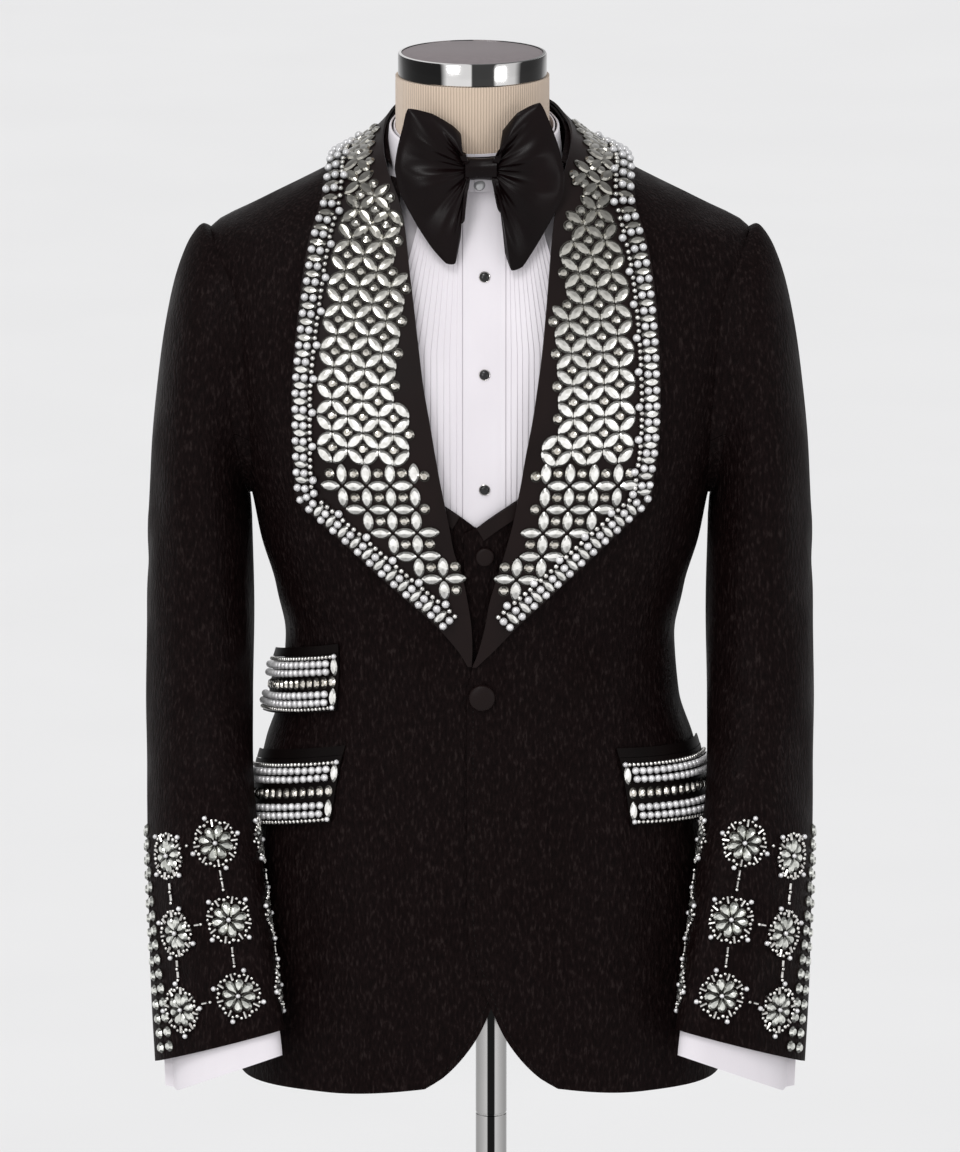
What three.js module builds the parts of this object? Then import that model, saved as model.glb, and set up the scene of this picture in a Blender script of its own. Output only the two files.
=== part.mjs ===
// Tuxedo jacket with a beaded shawl collar, waistcoat, pleated dress shirt and bow tie, worn by a
// limbless dress form on a pole and round base.
// Millimetres. +Z is up, the front faces -Y, and the origin is on the floor under the middle of the part.
import * as THREE from "three";

// Driving dimensions
const CLOTH = 1.6; // jacket wall
const LAPEL_WALL = 2;
const STONE_RISE = 2.2; // height of the sewn stones where the walls carry them
const SEAM_GAP = 0.3; // between two pieces at a seam
const HEM_Z = 734;
const QUARTER_CORNER_Z = 741; // where the rounded front quarter turns into the hem
const CUTAWAY_AXIS_X = 9; // the two rounded quarters mirror each other about this line
const TOP_FRONT_EDGE_X = -10.4; // the wearer's left front laps over the centre by this much
const BUTTON_Z = 1061;
const ARMHOLE = { bottom: 1205, top: 1418, halfDepth: 62, power: 2.3 };
const SIDE_SEAM_DEG = 74; // front to side panel, measured round the body from the centre front
const BACK_SEAM_DEG = 106; // side panel to back
const NECK_SEAM_Z = 1489;
// Distance of each outer face from the body of the jacket
const LAYER = {
  overlap: 2.6, lapel: 3.2, flap: 3, jet: 2.3, vest: -4.6, strip: -3, bib: -8.4, shirt: -10.2,
};
const NECK = { x: -6, y: -3 };
const CAP = { radius: 59, height: 18, inlay: 56, top: 1560 };
const POLE = { x: CUTAWAY_AXIS_X, radius: 12.5 };
const BASE = { radius: 172, thick: 9 };

const RAD = Math.PI / 180;

// Body of the jacket: half width, front depth, back depth and roundness of each level section
const TORSO = [
  { z: 700, w: 196, front: 119, back: 112, power: 2.4 },
  { z: 734, w: 195, front: 118, back: 112, power: 2.4 },
  { z: 800, w: 196, front: 120, back: 116, power: 2.4 },
  { z: 880, w: 192, front: 120, back: 119, power: 2.4 },
  { z: 940, w: 184, front: 117, back: 110, power: 2.4 },
  { z: 1000, w: 172, front: 113, back: 98, power: 2.35 },
  { z: 1040, w: 159.5, front: 111, back: 91, power: 2.3 },
  { z: 1086, w: 156, front: 111, back: 88, power: 2.3 },
  { z: 1130, w: 163, front: 114, back: 91, power: 2.3 },
  { z: 1170, w: 175, front: 119, back: 98, power: 2.3 },
  { z: 1205, w: 182, front: 123, back: 104, power: 2.3 },
  { z: 1240, w: 192, front: 125.5, back: 109, power: 2.3 },
  { z: 1298, w: 207, front: 121, back: 115, power: 2.25 },
  { z: 1346, w: 217, front: 110, back: 114, power: 2.2 },
  { z: 1396, w: 222, front: 94, back: 106, power: 2.2 },
  { z: 1418, w: 214, front: 88, back: 100, power: 2.15 },
  { z: 1437.5, w: 179, front: 82, back: 95, power: 2.1 },
  { z: 1455.5, w: 143, front: 76, back: 88, power: 2.05 },
  { z: 1471.5, w: 112, front: 70, back: 81, power: 2 },
  { z: 1491, w: 76, front: 64, back: 72, power: 2 },
  { z: 1506, w: 60, front: 60, back: 67, power: 2 },
];

// Front edge of the wearer's left front, from the hem up to the closing point
const FRONT_EDGE = [
  { z: 741, x: 62 },
  { z: 751, x: 47 },
  { z: 770, x: 29.5 },
  { z: 788, x: 18 },
  { z: 810, x: 8.4 },
  { z: 835, x: -1.5 },
  { z: 858, x: -8 },
  { z: 885, x: TOP_FRONT_EDGE_X },
  { z: 1030, x: TOP_FRONT_EDGE_X },
];

// Shawl lapels: distance from the middle to the roll line and to the outer edge on each side
const LAPEL = [
  { z: 1086, rollRight: 6.6, outRight: 9.6, rollLeft: -6, outLeft: -3 },
  { z: 1100, rollRight: 6, outRight: 18, rollLeft: -1, outLeft: 11 },
  { z: 1120, rollRight: 6.9, outRight: 35, rollLeft: 4, outLeft: 29.5 },
  { z: 1140, rollRight: 9.8, outRight: 57.5, rollLeft: 7.5, outLeft: 51 },
  { z: 1161, rollRight: 14, outRight: 81, rollLeft: 13.4, outLeft: 74 },
  { z: 1182, rollRight: 20.6, outRight: 104, rollLeft: 19.7, outLeft: 96.5 },
  { z: 1202, rollRight: 24.2, outRight: 127.5, rollLeft: 25, outLeft: 118 },
  { z: 1213, rollRight: 26.4, outRight: 139.5, rollLeft: 27.3, outLeft: 130 },
  { z: 1222, rollRight: 28.2, outRight: 143.6, rollLeft: 29, outLeft: 134 },
  { z: 1236, rollRight: 31, outRight: 145.2, rollLeft: 31.8, outLeft: 135.6 },
  { z: 1258, rollRight: 35, outRight: 146.3, rollLeft: 35.6, outLeft: 139 },
  { z: 1284, rollRight: 39.3, outRight: 147, rollLeft: 40.7, outLeft: 140.8 },
  { z: 1310, rollRight: 44, outRight: 147, rollLeft: 44.8, outLeft: 141 },
  { z: 1340, rollRight: 47.9, outRight: 145, rollLeft: 48.9, outLeft: 140.3 },
  { z: 1370, rollRight: 51.5, outRight: 141.8, rollLeft: 51.9, outLeft: 138.3 },
  { z: 1400, rollRight: 55.2, outRight: 138, rollLeft: 54.4, outLeft: 134.8 },
  { z: 1426, rollRight: 58, outRight: 132.5, rollLeft: 56.7, outLeft: 128.6 },
  { z: 1448, rollRight: 61.8, outRight: 124, rollLeft: 59.5, outLeft: 121 },
];

// Shawl collar behind the shoulder: its fold over the stand, and the edge of its fall
const COLLAR = [
  { foldX: 67, foldY: -54, foldZ: 1470, edgeX: 112, edgeY: -18, edgeZ: 1465 },
  { foldX: 71.5, foldY: -30, foldZ: 1486, edgeX: 108, edgeY: 8, edgeZ: 1469 },
  { foldX: 73.5, foldY: -2, foldZ: 1499, edgeX: 100, edgeY: 34, edgeZ: 1469 },
  { foldX: 70, foldY: 24, foldZ: 1506, edgeX: 86, edgeY: 54, edgeZ: 1470 },
  { foldX: 60, foldY: 49, foldZ: 1512, edgeX: 64, edgeY: 68, edgeZ: 1470 },
  { foldX: 40, foldY: 66.5, foldZ: 1516, edgeX: 42, edgeY: 77, edgeZ: 1470 },
  { foldX: 19, foldY: 73.5, foldZ: 1518, edgeX: 20, edgeY: 81, edgeZ: 1470 },
  { foldX: 0, foldY: 75, foldZ: 1518.5, edgeX: 0, edgeY: 82, edgeZ: 1470 },
];
const COLLAR_LEAN_X = -3; // the neck leans this way, and the top of the collar with it

// Stand inside the shawl collar: its foot on the neck seam and its head under the fold
const COLLAR_STAND = [
  { footX: 70.5, footY: -45, footZ: 1476.5, headX: 67.4, headY: -40, headZ: 1479.5 },
  { footX: 77, footY: -24, footZ: 1484.5, headX: 69.2, headY: -24, headZ: 1487 },
  { footX: 80, footY: -2, footZ: 1490, headX: 71, headY: -2, headZ: 1497.2 },
  { footX: 76.5, footY: 22, footZ: 1490, headX: 67.2, headY: 23, headZ: 1504.2 },
  { footX: 62.5, footY: 44, footZ: 1490, headX: 57.6, headY: 47, headZ: 1510 },
  { footX: 42, footY: 62, footZ: 1490, headX: 38.4, headY: 63.8, headZ: 1514 },
  { footX: 20, footY: 71, footZ: 1490, headX: 18.2, headY: 70.6, headZ: 1516 },
  { footX: 0, footY: 73.4, footZ: 1490, headX: 0, headY: 72.2, headZ: 1516.4 },
];

// Sleeve below the armpit: centre, half depth, half width and turn of each level section
const SLEEVE = [
  { z: 732, x: 205, y: -101, depth: 64, width: 25.5, turn: -55 },
  { z: 772, x: 207.5, y: -95, depth: 64, width: 27, turn: -54 },
  { z: 812, x: 211, y: -87.5, depth: 63.5, width: 31.5, turn: -50 },
  { z: 860, x: 215, y: -78.5, depth: 62.5, width: 35.5, turn: -43 },
  { z: 920, x: 219.5, y: -63, depth: 61.5, width: 38.5, turn: -33 },
  { z: 980, x: 223.5, y: -42, depth: 61.5, width: 40, turn: -20 },
  { z: 1040, x: 224.4, y: -20, depth: 64, width: 42.4, turn: -9 },
  { z: 1110, x: 223.4, y: -6, depth: 68, width: 43, turn: -2 },
  { z: 1185, x: 223.4, y: 0, depth: 72, width: 41.4, turn: 0 },
];

// Sleeve head: each ring fans up about the armpit, from its inner point to its outer one
const SLEEVE_HEAD = [
  { inX: 183, inZ: 1199, outX: 263.4, outZ: 1214, depth: 71.5 },
  { inX: 184, inZ: 1203.5, outX: 261.4, outZ: 1250, depth: 70.5 },
  { inX: 184.4, inZ: 1205, outX: 257.4, outZ: 1290, depth: 69 },
  { inX: 184.6, inZ: 1205.5, outX: 251.6, outZ: 1334, depth: 67 },
  { inX: 184.6, inZ: 1205.5, outX: 243.6, outZ: 1374, depth: 65.5 },
  { inX: 184.4, inZ: 1205, outX: 235, outZ: 1400, depth: 64.5 },
  { inX: 184, inZ: 1204.5, outX: 227.5, outZ: 1414, depth: 64 },
  { inX: 183.6, inZ: 1204.2, outX: 220.5, outZ: 1421, depth: 63.4 },
];
const SLEEVE_HEM = { mid: 772, slant: 21 }; // lower behind, higher in front
const CUFF = { above: 40, below: 21, inset: 4.6, wall: 1.2, fin: 15, finHalfGap: 0.25 };
const TOP_SLEEVE_DEG = [-118, 100]; // the rest is the under sleeve

// Dress form, wider where the torso is, then a round neck
const FORM = [
  { z: 814, w: 166, front: 94, back: 90, x: 1, y: 0, power: 2.3 },
  { z: 820, w: 176, front: 103, back: 100, x: 1, y: 0, power: 2.3 },
  { z: 880, w: 177, front: 106, back: 104, x: 0, y: 0, power: 2.3 },
  { z: 940, w: 170, front: 103, back: 96, x: 0, y: 0, power: 2.3 },
  { z: 985, w: 160, front: 100, back: 87, x: 0, y: 0, power: 2.3 },
  { z: 1040, w: 145, front: 97, back: 77, x: 0, y: 0, power: 2.3 },
  { z: 1086, w: 142, front: 97, back: 74, x: 0, y: 0, power: 2.3 },
  { z: 1130, w: 149, front: 100, back: 77, x: 0, y: 0, power: 2.3 },
  { z: 1190, w: 158, front: 107, back: 84, x: 0, y: 0, power: 2.3 },
  { z: 1240, w: 161, front: 111, back: 90, x: 0, y: 0, power: 2.3 },
  { z: 1290, w: 170, front: 108, back: 99, x: 0, y: 0, power: 2.25 },
  { z: 1340, w: 175, front: 97, back: 99, x: 0, y: 0, power: 2.2 },
  { z: 1382, w: 180, front: 83, back: 93, x: 0, y: 0, power: 2.2 },
  { z: 1402, w: 174, front: 75, back: 86, x: 0, y: 0, power: 2.15 },
  { z: 1418, w: 152, front: 69, back: 81, x: -1, y: 0, power: 2.1 },
  { z: 1434, w: 117, front: 61, back: 72, x: -2, y: 0, power: 2.05 },
  { z: 1448, w: 82, front: 58, back: 63, x: -4, y: -1, power: 2 },
  { z: 1460, w: 66, front: 57, back: 60.5, x: -5, y: -2, power: 2 },
  { z: 1472, w: 62, front: 58, back: 61, x: -6, y: -3, power: 2 },
  { z: 1494, w: 61, front: 60.5, back: 61, x: -6, y: -3, power: 2 },
  { z: 1541.7, w: 61, front: 61, back: 61, x: -6, y: -3, power: 2 },
];

// Pocket flaps: side of the body (+1 is the wearer's left), inner end, top, height, length round the
// body, drop towards the side, and how far the outer end stands off
const FLAPS = [
  { name: "ticket", side: -1, x: 111, top: 1091, height: 47, length: 106, drop: 24, stand: 7 },
  { name: "right", side: -1, x: 108.5, top: 1009.5, height: 54, length: 118, drop: 24, stand: 1.5 },
  { name: "left", side: 1, x: 110, top: 1007, height: 54, length: 118, drop: 10, stand: 1.5 },
];
const JET_HEIGHT = 7.5;

// Bow tie wings, each round its edge from above the knot, outwards and down
const BOW_RIGHT_WING = [
  { x: -12, z: 1503.8 },
  { x: -21.2, z: 1513.1 },
  { x: -37.6, z: 1522.5 },
  { x: -56.6, z: 1526.4 },
  { x: -61, z: 1511.6 },
  { x: -65.1, z: 1495.2 },
  { x: -67.2, z: 1479.5 },
  { x: -62.4, z: 1459.3 },
  { x: -49.6, z: 1435.8 },
  { x: -37.6, z: 1417.9 },
  { x: -26.8, z: 1406.4 },
  { x: -19.4, z: 1406.4 },
  { x: -15.2, z: 1425.7 },
];
const BOW_LEFT_WING = [
  { x: 17.6, z: 1509.3 },
  { x: 29.6, z: 1523.3 },
  { x: 47.2, z: 1531 },
  { x: 56, z: 1513.1 },
  { x: 62.4, z: 1495.2 },
  { x: 66.4, z: 1475.7 },
  { x: 65.4, z: 1459.3 },
  { x: 56, z: 1439.8 },
  { x: 44, z: 1419.5 },
  { x: 33.6, z: 1403.8 },
  { x: 24.8, z: 1400.9 },
  { x: 19.6, z: 1414 },
];
const KNOT = { x: 0.8, y: -76.4, z: 1479.6, halfLength: 12.4, halfHeight: 7.2, halfDepth: 6.4 };
const BOW_LEAN = 0.17; // the wings hang forward by this much of their drop
const BOW_WALL = 3;

// Shirt collar: centre, radii of the stand and of the fall, and the height of its fold round the neck
const SHIRT_COLLAR = {
  x: -4.5, y: -3, standFoot: 66, standHead: 63.9, fallHead: 66.3, fallUnder: 67.4, fallFoot: 70.4,
  foldFront: 1489.5, foldBack: 1514.5, openingLeft: 18, openingRight: 14, wall: 1,
};
const SHIRT_NECK = { front: 1459, back: 1479 };
const BOW_BAND = { inner: 65.1, wall: 0.8, height: 10, below: 2 };

const PLEATS = 12; // each side of the placket
const PLEAT_RISE = 0.8;
const PLACKET = { x: 3.4, halfWidth: 17 };
const BIB = { bottom: 1180, half: 76, topHalf: 44, taperFrom: 1340 };
const STUD = { z: [1229.5, 1322.4, 1396.8], radius: 4.5, height: 2.8 };

// Edge of the waistcoat's neck, as distance from its centre line at each height
const VEST_EDGE = [
  { z: 1199, x: 0.6 },
  { z: 1207, x: 11 },
  { z: 1218, x: 27 },
  { z: 1232, x: 47 },
  { z: 1255, x: 64 },
  { z: 1300, x: 76 },
  { z: 1350, x: 84 },
  { z: 1400, x: 90 },
  { z: 1470, x: 86 },
];
const VEST = { x: -3.5, point: 22, lap: 9, wall: 1.3, lift: 1.9, strip: 11, buttonZ: 1175.5 };

const BLACK_CLOTH = { color: 0x100d0d, roughness: 0.85, metalness: 0 };
const BLACK_SATIN = { color: 0x1a1716, roughness: 0.45, metalness: 0 };
const WHITE_COTTON = { color: 0xe9e4ee, roughness: 0.8, metalness: 0 };
const FORM_JERSEY = { color: 0xd8bf9c, roughness: 0.9, metalness: 0 };
const BRUSHED_STEEL = { color: 0xb9b6b0, roughness: 0.25, metalness: 1 };
const CAP_BLACK = { color: 0x5c5658, roughness: 0.6, metalness: 0 };
const STUD_BLACK = { color: 0x0a0a0a, roughness: 0.1, metalness: 0 };

const part = new THREE.Group();

function addMesh(name, geometry, look) {
  const mesh = new THREE.Mesh(geometry, new THREE.MeshStandardMaterial(look));
  mesh.name = name;
  part.add(mesh);
  return mesh;
}

// Value of a column at z, on a smooth curve through the rows that never overshoots them
function along(rows, column, z, key = "z") {
  const last = rows.length - 1;
  if (z <= rows[0][key]) return rows[0][column];
  if (z >= rows[last][key]) return rows[last][column];
  let i = 0;
  while (rows[i + 1][key] < z) i++;
  const slope = (k) =>
    (rows[k + 1][column] - rows[k][column]) / (rows[k + 1][key] - rows[k][key]);
  const tangent = (k) => {
    if (k === 0) return slope(0);
    if (k === last) return slope(last - 1);
    const before = slope(k - 1);
    const after = slope(k);
    return before * after <= 0 ? 0 : (2 * before * after) / (before + after);
  };
  const span = rows[i + 1][key] - rows[i][key];
  const t = (z - rows[i][key]) / span;
  const t2 = t * t;
  const t3 = t2 * t;
  return (
    (2 * t3 - 3 * t2 + 1) * rows[i][column] +
    (t3 - 2 * t2 + t) * span * tangent(i) +
    (3 * t2 - 2 * t3) * rows[i + 1][column] +
    (t3 - t2) * span * tangent(i + 1)
  );
}

function section(rows, z) {
  return {
    w: along(rows, "w", z),
    front: along(rows, "front", z),
    back: along(rows, "back", z),
    power: along(rows, "power", z),
    x: rows[0].x === undefined ? 0 : along(rows, "x", z),
    y: rows[0].y === undefined ? 0 : along(rows, "y", z),
  };
}

// Point round a section: angle 0 is the centre front, 90 degrees the side, 180 the centre back
function roundPoint(rows, angle, z) {
  const s = section(rows, z);
  const p = 2 / s.power;
  const sine = Math.sin(angle);
  const cosine = Math.cos(angle);
  const depth = cosine >= 0 ? s.front : s.back;
  return new THREE.Vector3(
    s.x + s.w * Math.sign(sine) * Math.abs(sine) ** p,
    s.y - depth * Math.sign(cosine) * Math.abs(cosine) ** p,
    z,
  );
}

// Below 0 inside the jacket's body, above 0 outside it
function bodyField(x, y, z) {
  const s = section(TORSO, z);
  const depth = y < 0 ? s.front : s.back;
  return (Math.abs(x) / s.w) ** s.power + (Math.abs(y) / depth) ** s.power - 1;
}

function bodyNormal(p) {
  const e = 0.5;
  return new THREE.Vector3(
    bodyField(p.x + e, p.y, p.z) - bodyField(p.x - e, p.y, p.z),
    bodyField(p.x, p.y + e, p.z) - bodyField(p.x, p.y - e, p.z),
    bodyField(p.x, p.y, p.z + e) - bodyField(p.x, p.y, p.z - e),
  ).normalize();
}

// Point on the body at a distance out from it, for an angle round it and a height
function onBody(angle, z, out = 0) {
  const p = roundPoint(TORSO, angle, z);
  return out ? p.addScaledVector(bodyNormal(p), out) : p;
}

// Angle of the point whose distance from the middle is x, in front or behind
function angleAtX(x, z, behind = false) {
  const s = section(TORSO, z);
  const share = Math.min(1, Math.abs(x) / s.w) ** (s.power / 2);
  const angle = Math.sign(x) * Math.asin(share);
  return behind ? Math.PI - angle : angle;
}

// Angle round the body of the armhole's edge at a height between its bottom and top
function armholeAngle(z, behind) {
  const middle = (ARMHOLE.top + ARMHOLE.bottom) / 2;
  const half = (ARMHOLE.top - ARMHOLE.bottom) / 2;
  const t = Math.min(1, Math.abs(z - middle) / half);
  const y = ARMHOLE.halfDepth * (1 - t ** ARMHOLE.power) ** (1 / ARMHOLE.power);
  const s = section(TORSO, z);
  const angle = Math.acos((y / (behind ? s.back : s.front)) ** (s.power / 2));
  return behind ? Math.PI - angle : angle;
}

// Height at which the lower half of the armhole passes an angle round the body
function armholeHeight(angle) {
  let low = ARMHOLE.bottom;
  let high = (ARMHOLE.top + ARMHOLE.bottom) / 2;
  const behind = angle > Math.PI / 2;
  for (let i = 0; i < 40; i++) {
    const z = (low + high) / 2;
    const edge = armholeAngle(z, behind);
    if (behind ? edge < angle : edge > angle) low = z;
    else high = z;
  }
  return low;
}

// Point of the armhole's edge, going round it from the shoulder, 90 degrees is behind
function armholePoint(turn, out) {
  const p = 2 / ARMHOLE.power;
  const half = (ARMHOLE.top - ARMHOLE.bottom) / 2;
  const up = Math.sign(Math.cos(turn)) * Math.abs(Math.cos(turn)) ** p;
  const z = ARMHOLE.bottom + half + half * up;
  const y = ARMHOLE.halfDepth * Math.sign(Math.sin(turn)) * Math.abs(Math.sin(turn)) ** p;
  const s = section(TORSO, z);
  const depth = y < 0 ? s.front : s.back;
  const x = s.w * (1 - (Math.abs(y) / depth) ** s.power) ** (1 / s.power);
  return new THREE.Vector3(x + out, y, z);
}

function range(from, to, steps) {
  return Array.from({ length: steps + 1 }, (_, i) => from + ((to - from) * i) / steps);
}

// Closed wall: a surface of points with its inner face a wall's thickness behind, or given
function wall(name, surface, us, vs, thick, look, options = {}) {
  const { side = 1, round = false, normal = null, mirror = false, inner = null } = options;
  const rows = vs.length;
  const columns = round ? us.length - 1 : us.length;
  const uStep = (us[us.length - 1] - us[0]) * 1e-4;
  const vStep = (vs[rows - 1] - vs[0]) * 1e-4;
  const slopeNormal = (u, v) => {
    const du = surface(u + uStep, v).sub(surface(u - uStep, v));
    const dv = surface(u, v + vStep).sub(surface(u, v - vStep));
    return du.cross(dv).normalize().multiplyScalar(side);
  };
  const behind = (p, u, v) => {
    const n = normal ? normal(p) : slopeNormal(u, v);
    return p.clone().addScaledVector(n, -thick);
  };
  const positions = [];
  const innerFace = [];
  for (const v of vs)
    for (const u of us.slice(0, columns)) {
      const p = surface(u, v);
      const q = inner ? inner(u, v) : behind(p, u, v);
      positions.push(p.x, p.y, p.z);
      innerFace.push(q.x, q.y, q.z);
    }
  positions.push(...innerFace);
  const count = rows * columns;
  const at = (i, j) => i * columns + (j % columns);
  const index = [];
  const quad = (a, b, c, d) => index.push(a, b, c, a, c, d);
  const across = round ? columns : columns - 1;
  for (let i = 0; i < rows - 1; i++)
    for (let j = 0; j < across; j++) {
      const [a, b, c, d] = [at(i, j), at(i, j + 1), at(i + 1, j + 1), at(i + 1, j)];
      quad(a, b, c, d);
      index.push(count + a, count + c, count + b, count + a, count + d, count + c);
    }
  for (let j = 0; j < across; j++) {
    const [a, b] = [at(0, j), at(0, j + 1)];
    quad(count + a, count + b, b, a);
    const [c, d] = [at(rows - 1, j), at(rows - 1, j + 1)];
    quad(c, d, count + d, count + c);
  }
  if (!round)
    for (let i = 0; i < rows - 1; i++) {
      const [a, d] = [at(i, 0), at(i + 1, 0)];
      quad(a, d, count + d, count + a);
      const [b, c] = [at(i, columns - 1), at(i + 1, columns - 1)];
      quad(count + b, count + c, c, b);
    }
  if (mirror) for (let i = 0; i < positions.length; i += 3) positions[i] *= -1;
  return addMesh(name, facingOut(positions, index), look);
}

// Geometry from points and triangles, turned so that its faces point out
function facingOut(positions, index) {
  let volume = 0;
  const v = (k) => new THREE.Vector3(...positions.slice(3 * k, 3 * k + 3));
  for (let i = 0; i < index.length; i += 3)
    volume += v(index[i]).dot(v(index[i + 1]).cross(v(index[i + 2])));
  if (volume < 0)
    for (let i = 0; i < index.length; i += 3)
      [index[i + 1], index[i + 2]] = [index[i + 2], index[i + 1]];
  const geometry = new THREE.BufferGeometry();
  geometry.setAttribute("position", new THREE.Float32BufferAttribute(positions, 3));
  geometry.setIndex(index);
  return geometry;
}

// Solid lofted through closed level rings, with flat ends
function loft(name, ring, levels, steps, look) {
  const positions = [];
  const index = [];
  for (const level of levels)
    for (let j = 0; j < steps; j++) {
      const p = ring((2 * Math.PI * j) / steps, level);
      positions.push(p.x, p.y, p.z);
    }
  const middle = (i) => {
    const start = i * steps * 3;
    const sum = [0, 0, 0];
    for (let j = 0; j < steps; j++)
      for (let k = 0; k < 3; k++) sum[k] += positions[start + 3 * j + k] / steps;
    positions.push(...sum);
    return positions.length / 3 - 1;
  };
  for (let i = 0; i < levels.length - 1; i++)
    for (let j = 0; j < steps; j++) {
      const a = i * steps + j;
      const b = i * steps + ((j + 1) % steps);
      index.push(a, b, b + steps, a, b + steps, a + steps);
    }
  const foot = middle(0);
  const head = middle(levels.length - 1);
  const top = (levels.length - 1) * steps;
  for (let j = 0; j < steps; j++) {
    index.push(foot, (j + 1) % steps, j);
    index.push(head, top + j, top + ((j + 1) % steps));
  }
  return addMesh(name, facingOut(positions, index), look);
}

// Turned piece about a vertical axis, its profile as radius and height pairs
function turned(name, profile, x, y, steps, look) {
  const points = profile.map(([radius, height]) => new THREE.Vector2(radius, height));
  const geometry = new THREE.LatheGeometry(points, steps);
  geometry.rotateX(Math.PI / 2);
  geometry.translate(x, y, 0);
  return addMesh(name, geometry, look);
}

// Distance out from the middle of a front's edge or roll line, measured to its own side
function frontEdgeX(z, left) {
  const hem = along(FRONT_EDGE, "x", z);
  const below = left ? hem : hem - 2 * CUTAWAY_AXIS_X;
  const roll = along(LAPEL, left ? "rollLeft" : "rollRight", z) + 1.5;
  const t = Math.min(1, Math.max(0, (z - BUTTON_Z) / 35));
  return below + (roll - below) * t * t * (3 - 2 * t);
}

// Near the middle the wearer's left front lies over the right one
function frontLift(x, left) {
  if (!left) return 0;
  const t = Math.min(1, Math.max(0, (72 - x) / 40));
  return LAYER.overlap * t * t * (3 - 2 * t);
}

const FRONT_LEVELS = [734, 745, 764, 788, 820, 860, 920, 985, 1040, 1086, 1130, 1190];
const UPPER_LEVELS = [1240, 1290, 1340, 1390, 1408];
const SHOULDER_LEVELS = [1418, 1434, 1452, 1470];

function addFronts() {
  const seam = SIDE_SEAM_DEG * RAD;
  const joint = armholeHeight(seam);
  const levels = [...FRONT_LEVELS, joint, ...UPPER_LEVELS, ...SHOULDER_LEVELS, NECK_SEAM_Z - 0.3];
  const outerAngle = (z) => {
    if (z <= joint) return seam;
    if (z >= ARMHOLE.top) return Math.PI / 2;
    return armholeAngle(z, false);
  };
  for (const left of [true, false]) {
    const surface = (u, level) => {
      const corner = QUARTER_CORNER_Z - HEM_Z;
      const low = Math.max(0, 1 - (level - HEM_Z) / 90);
      const neck = Math.max(0, (level - 1446) / (NECK_SEAM_Z - 1446));
      const z = level + corner * low * Math.max(0, 1 - u / 0.4) ** 2 - 20 * neck * (1 - u);
      const first = angleAtX(frontEdgeX(z, left), z);
      const last = outerAngle(level) - (level > joint ? 0.8 : SEAM_GAP / 2) / section(TORSO, level).w;
      const p = onBody(first + (last - first) * u, z);
      return p.addScaledVector(bodyNormal(p), frontLift(p.x, left));
    };
    const columns = [0, 0.13, 0.3, 0.47, 0.62, 0.76, 0.88, 1];
    wall(left ? "jacket_front_left" : "jacket_front_right", surface, columns, levels, CLOTH,
      BLACK_CLOTH, { normal: bodyNormal, mirror: !left });
  }
}

function addSidesAndBacks() {
  const gap = SEAM_GAP / 2 / 180;
  const low = SIDE_SEAM_DEG * RAD + gap;
  const high = BACK_SEAM_DEG * RAD - gap;
  const joint = armholeHeight(BACK_SEAM_DEG * RAD);
  const levels = [...FRONT_LEVELS, joint, ...UPPER_LEVELS, ...SHOULDER_LEVELS, NECK_SEAM_Z];
  const outerAngle = (z) => {
    if (z <= joint) return BACK_SEAM_DEG * RAD;
    if (z >= ARMHOLE.top) return Math.PI / 2;
    return armholeAngle(z, true);
  };
  const top = ARMHOLE.bottom;
  const side = (u, z) => {
    const angle = low + (high - low) * u;
    return onBody(angle, z === top ? armholeHeight(angle) - 0.2 : z);
  };
  const back = (u, z) => {
    const first = outerAngle(z) + (z > joint ? 0.8 : SEAM_GAP / 2) / section(TORSO, z).w;
    const last = Math.PI - SEAM_GAP / 2 / section(TORSO, z).w;
    return onBody(first + (last - first) * u, z);
  };
  for (const left of [true, false]) {
    const which = left ? "left" : "right";
    const options = { normal: bodyNormal, mirror: !left };
    wall("jacket_side_" + which, side, range(0, 1, 3), [...FRONT_LEVELS, top], CLOTH,
      BLACK_CLOTH, options);
    wall("jacket_back_" + which, back, range(0, 1, 6), levels, CLOTH, BLACK_CLOTH, options);
  }
}

// Point of a level sleeve section, 0 on its outer side and 90 degrees behind
function sleeveSection(turn, z, inset) {
  const angle = along(SLEEVE, "turn", z) * RAD;
  const outward = (along(SLEEVE, "width", z) - inset) * Math.cos(turn);
  const backward = (along(SLEEVE, "depth", z) - inset) * Math.sin(turn);
  return new THREE.Vector3(
    along(SLEEVE, "x", z) + outward * Math.cos(angle) - backward * Math.sin(angle),
    along(SLEEVE, "y", z) + outward * Math.sin(angle) + backward * Math.cos(angle),
    z,
  );
}

// Sleeve levels run 0 to 1 up to the armpit, then one for each ring of the head, then the armhole
const SLEEVE_TOP = SLEEVE_HEAD.length + 2;
function sleevePoint(turn, level) {
  if (level <= 1) {
    const hem = SLEEVE_HEM.mid - SLEEVE_HEM.slant * Math.sin(turn);
    return sleeveSection(turn, hem + (1185 - hem) * level, 0);
  }
  const ring = (k) => {
    if (k <= 0) return sleeveSection(turn, 1185, 0);
    if (k > SLEEVE_HEAD.length) return armholePoint(turn, 1.5);
    const r = SLEEVE_HEAD[k - 1];
    const out = (1 + Math.cos(turn)) / 2;
    return new THREE.Vector3(
      r.inX + (r.outX - r.inX) * out,
      r.depth * Math.sin(turn),
      r.inZ + (r.outZ - r.inZ) * out,
    );
  };
  const k = Math.min(SLEEVE_HEAD.length, Math.floor(level - 1));
  return ring(k).lerp(ring(k + 1), Math.min(1, level - 1 - k));
}

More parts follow.
